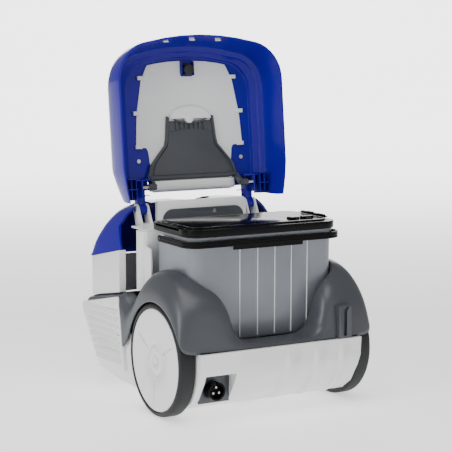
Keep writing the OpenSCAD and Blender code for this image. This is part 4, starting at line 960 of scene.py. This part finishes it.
# %% Rounded lid, window and latches
rounded("canister_lid", 1.4, segments=3)
rounded("canister_window", 0.9, segments=3)
rounded("latch_left", 0.6)
rounded("latch_right", 0.6)
LID_TOP = Vector((0, 0, 330)) * MM
LATCH_PIN = Vector((143, 0, -1)) * MM
for side, name, lift in ((-1, "left", 0), (1, "right", 18)):
    bm = bmesh.new()
    box_tool(bm, (147.9, -112, 1.2), (152.2, -32, 3.6))
    for y in (-110, -104, -98, -92):
        box_tool(bm, (148.2, y, 3.2), (151.8, y + 2.4, 4.6))
    box_tool(bm, (147.9, -72, 1.4), (152.2, -52, 4.8))
    hinge = Matrix.Translation(LATCH_PIN)
    move = (Matrix.Translation(LID_TOP) @ hinge
        @ Matrix.Rotation(math.radians(-lift), 4, "Y") @ hinge.inverted())
    bmesh.ops.transform(bm, matrix=move, verts=bm.verts)
    if side < 0:
        bmesh.ops.scale(bm, vec=(-1, 1, 1), verts=bm.verts)
        bmesh.ops.reverse_faces(bm, faces=bm.faces)
    lever = keep("latch_lever_" + name, bm, ["latch_" + name], hide=False)
    rounding(lever, 0.7)
bm = bmesh.new()
for x0, x1, y0, y1, z1 in ((72, 90, -119, -108, 336.5), (75, 87, -108, -98, 335.2),
        (98, 122, -116, -108, 336.5), (102, 118, -108, -99, 335.2), (104, 116, -122, -116, 334.5),
        (78, 84, -125, -119, 334.5)):
    box_tool(bm, (x0, y0, 331), (x1, y1, z1))
clips = keep("canister_lid_clips", bm, ["canister_lid"], hide=False)
rounding(clips, 1.0)
print("canister lid, latches and clips")

# %% Channelled carry handle
HANDLE_END = (156.25, -49, 305.6)
section = [(0, -5.8), (3, -6), (3.5, -5.4), (3.5, -2.7), (2.6, -2.2), (2.6, -0.9), (3.5, -0.4),
    (3.5, 1.7), (2.6, 2.2), (2.6, 3.5), (3.5, 4), (3.5, 5.4), (3, 6), (0, 5.8)]
bm = bmesh.new()
rings = [rect_ring(bm, (-154.5 - t, -159.5 - t), (154.5 + t, 20), 27 + t, HANDLE_END[2] + z)
    for t, z in section]
bridge(bm, rings + rings[:1])
closed_out(bm)
handle = keep("handle_band", bm, ["canister_handle"])
bm = bmesh.new()
box_tool(bm, (-200, -49, 290), (200, 60, 320))
cut(handle, cutter("handle_front", bm))
rounding(handle, 0.35, 45)
for side, name in ((-1, "left"), (1, "right")):
    end = Vector((side * HANDLE_END[0], *HANDLE_END[1:])) * MM
    bm = bmesh.new()
    rod(bm, 0.006, 0.0035, end)
    eye = keep("handle_eye_" + name, bm, ["canister_handle"], hide=False)
    bm = bmesh.new()
    rod(bm, 0.00155, 0.02, end, segments=32)
    cut(eye, cutter("eye_bore", bm))
    rounding(eye, 0.5)
bm = bmesh.new()
box_tool(bm, (-70, -163.2, 293.6), (70, -159.3, 300.5))
for x in range(-60, 61, 12):
    box_tool(bm, (x - 0.8, -163.8, 295), (x + 0.8, -162.8, 299.5))
grip = keep("handle_grip", bm, ["canister_handle"], hide=False)
rounding(grip, 0.8)
print("handle made")

# %% [markdown]
# ## Slats of the side panels
# Each side panel carries eight slats. A slat is a thin wedge whose lower edge stands proud, so
# that it throws a small shadow on the next one. Three small studs stand along the top edge.

# %% Slats
SLATS = 8
SLAT_PITCH = 12.6
SLAT_HEIGHT = 9.4
SLAT_TILT = 4.5
for side, name in ((-1, "left"), (1, "right")):
    bm = bmesh.new()
    for i in range(SLATS):
        z = 162 - SLAT_PITCH * i
        y0, y1 = 55 - 2.2 * i, 203 - 8.4 * i
        corners = [(y0, z), (y1, z - SLAT_TILT), (y1, z - SLAT_HEIGHT - SLAT_TILT),
            (y0, z - SLAT_HEIGHT)]
        verts = [bm.verts.new(Vector((side * 193.2, y, zz)) * MM) for y, zz in corners]
        verts += [bm.verts.new(Vector((side * (194.3 + 3.4 * (k // 2)), y, zz)) * MM)
            for k, (y, zz) in enumerate(corners)]
        bmesh.ops.convex_hull(bm, input=verts)
    closed_out(bm)
    slats = keep("panel_slats_" + name, bm, ["side_panel_" + name], hide=False)
    rounding(slats, 0.5)
    bm = bmesh.new()
    for y in (70, 122, 180):
        rod(bm, 0.0032, 0.0014, Vector((side * 194.4, y, 173.5 - 0.13 * (y - 55))) * MM,
            turn=side * math.pi / 2, segments=24, tip=0.0022)
    keep("panel_dimples_" + name, bm, ["side_panel_" + name], hide=False)
print("slats made")
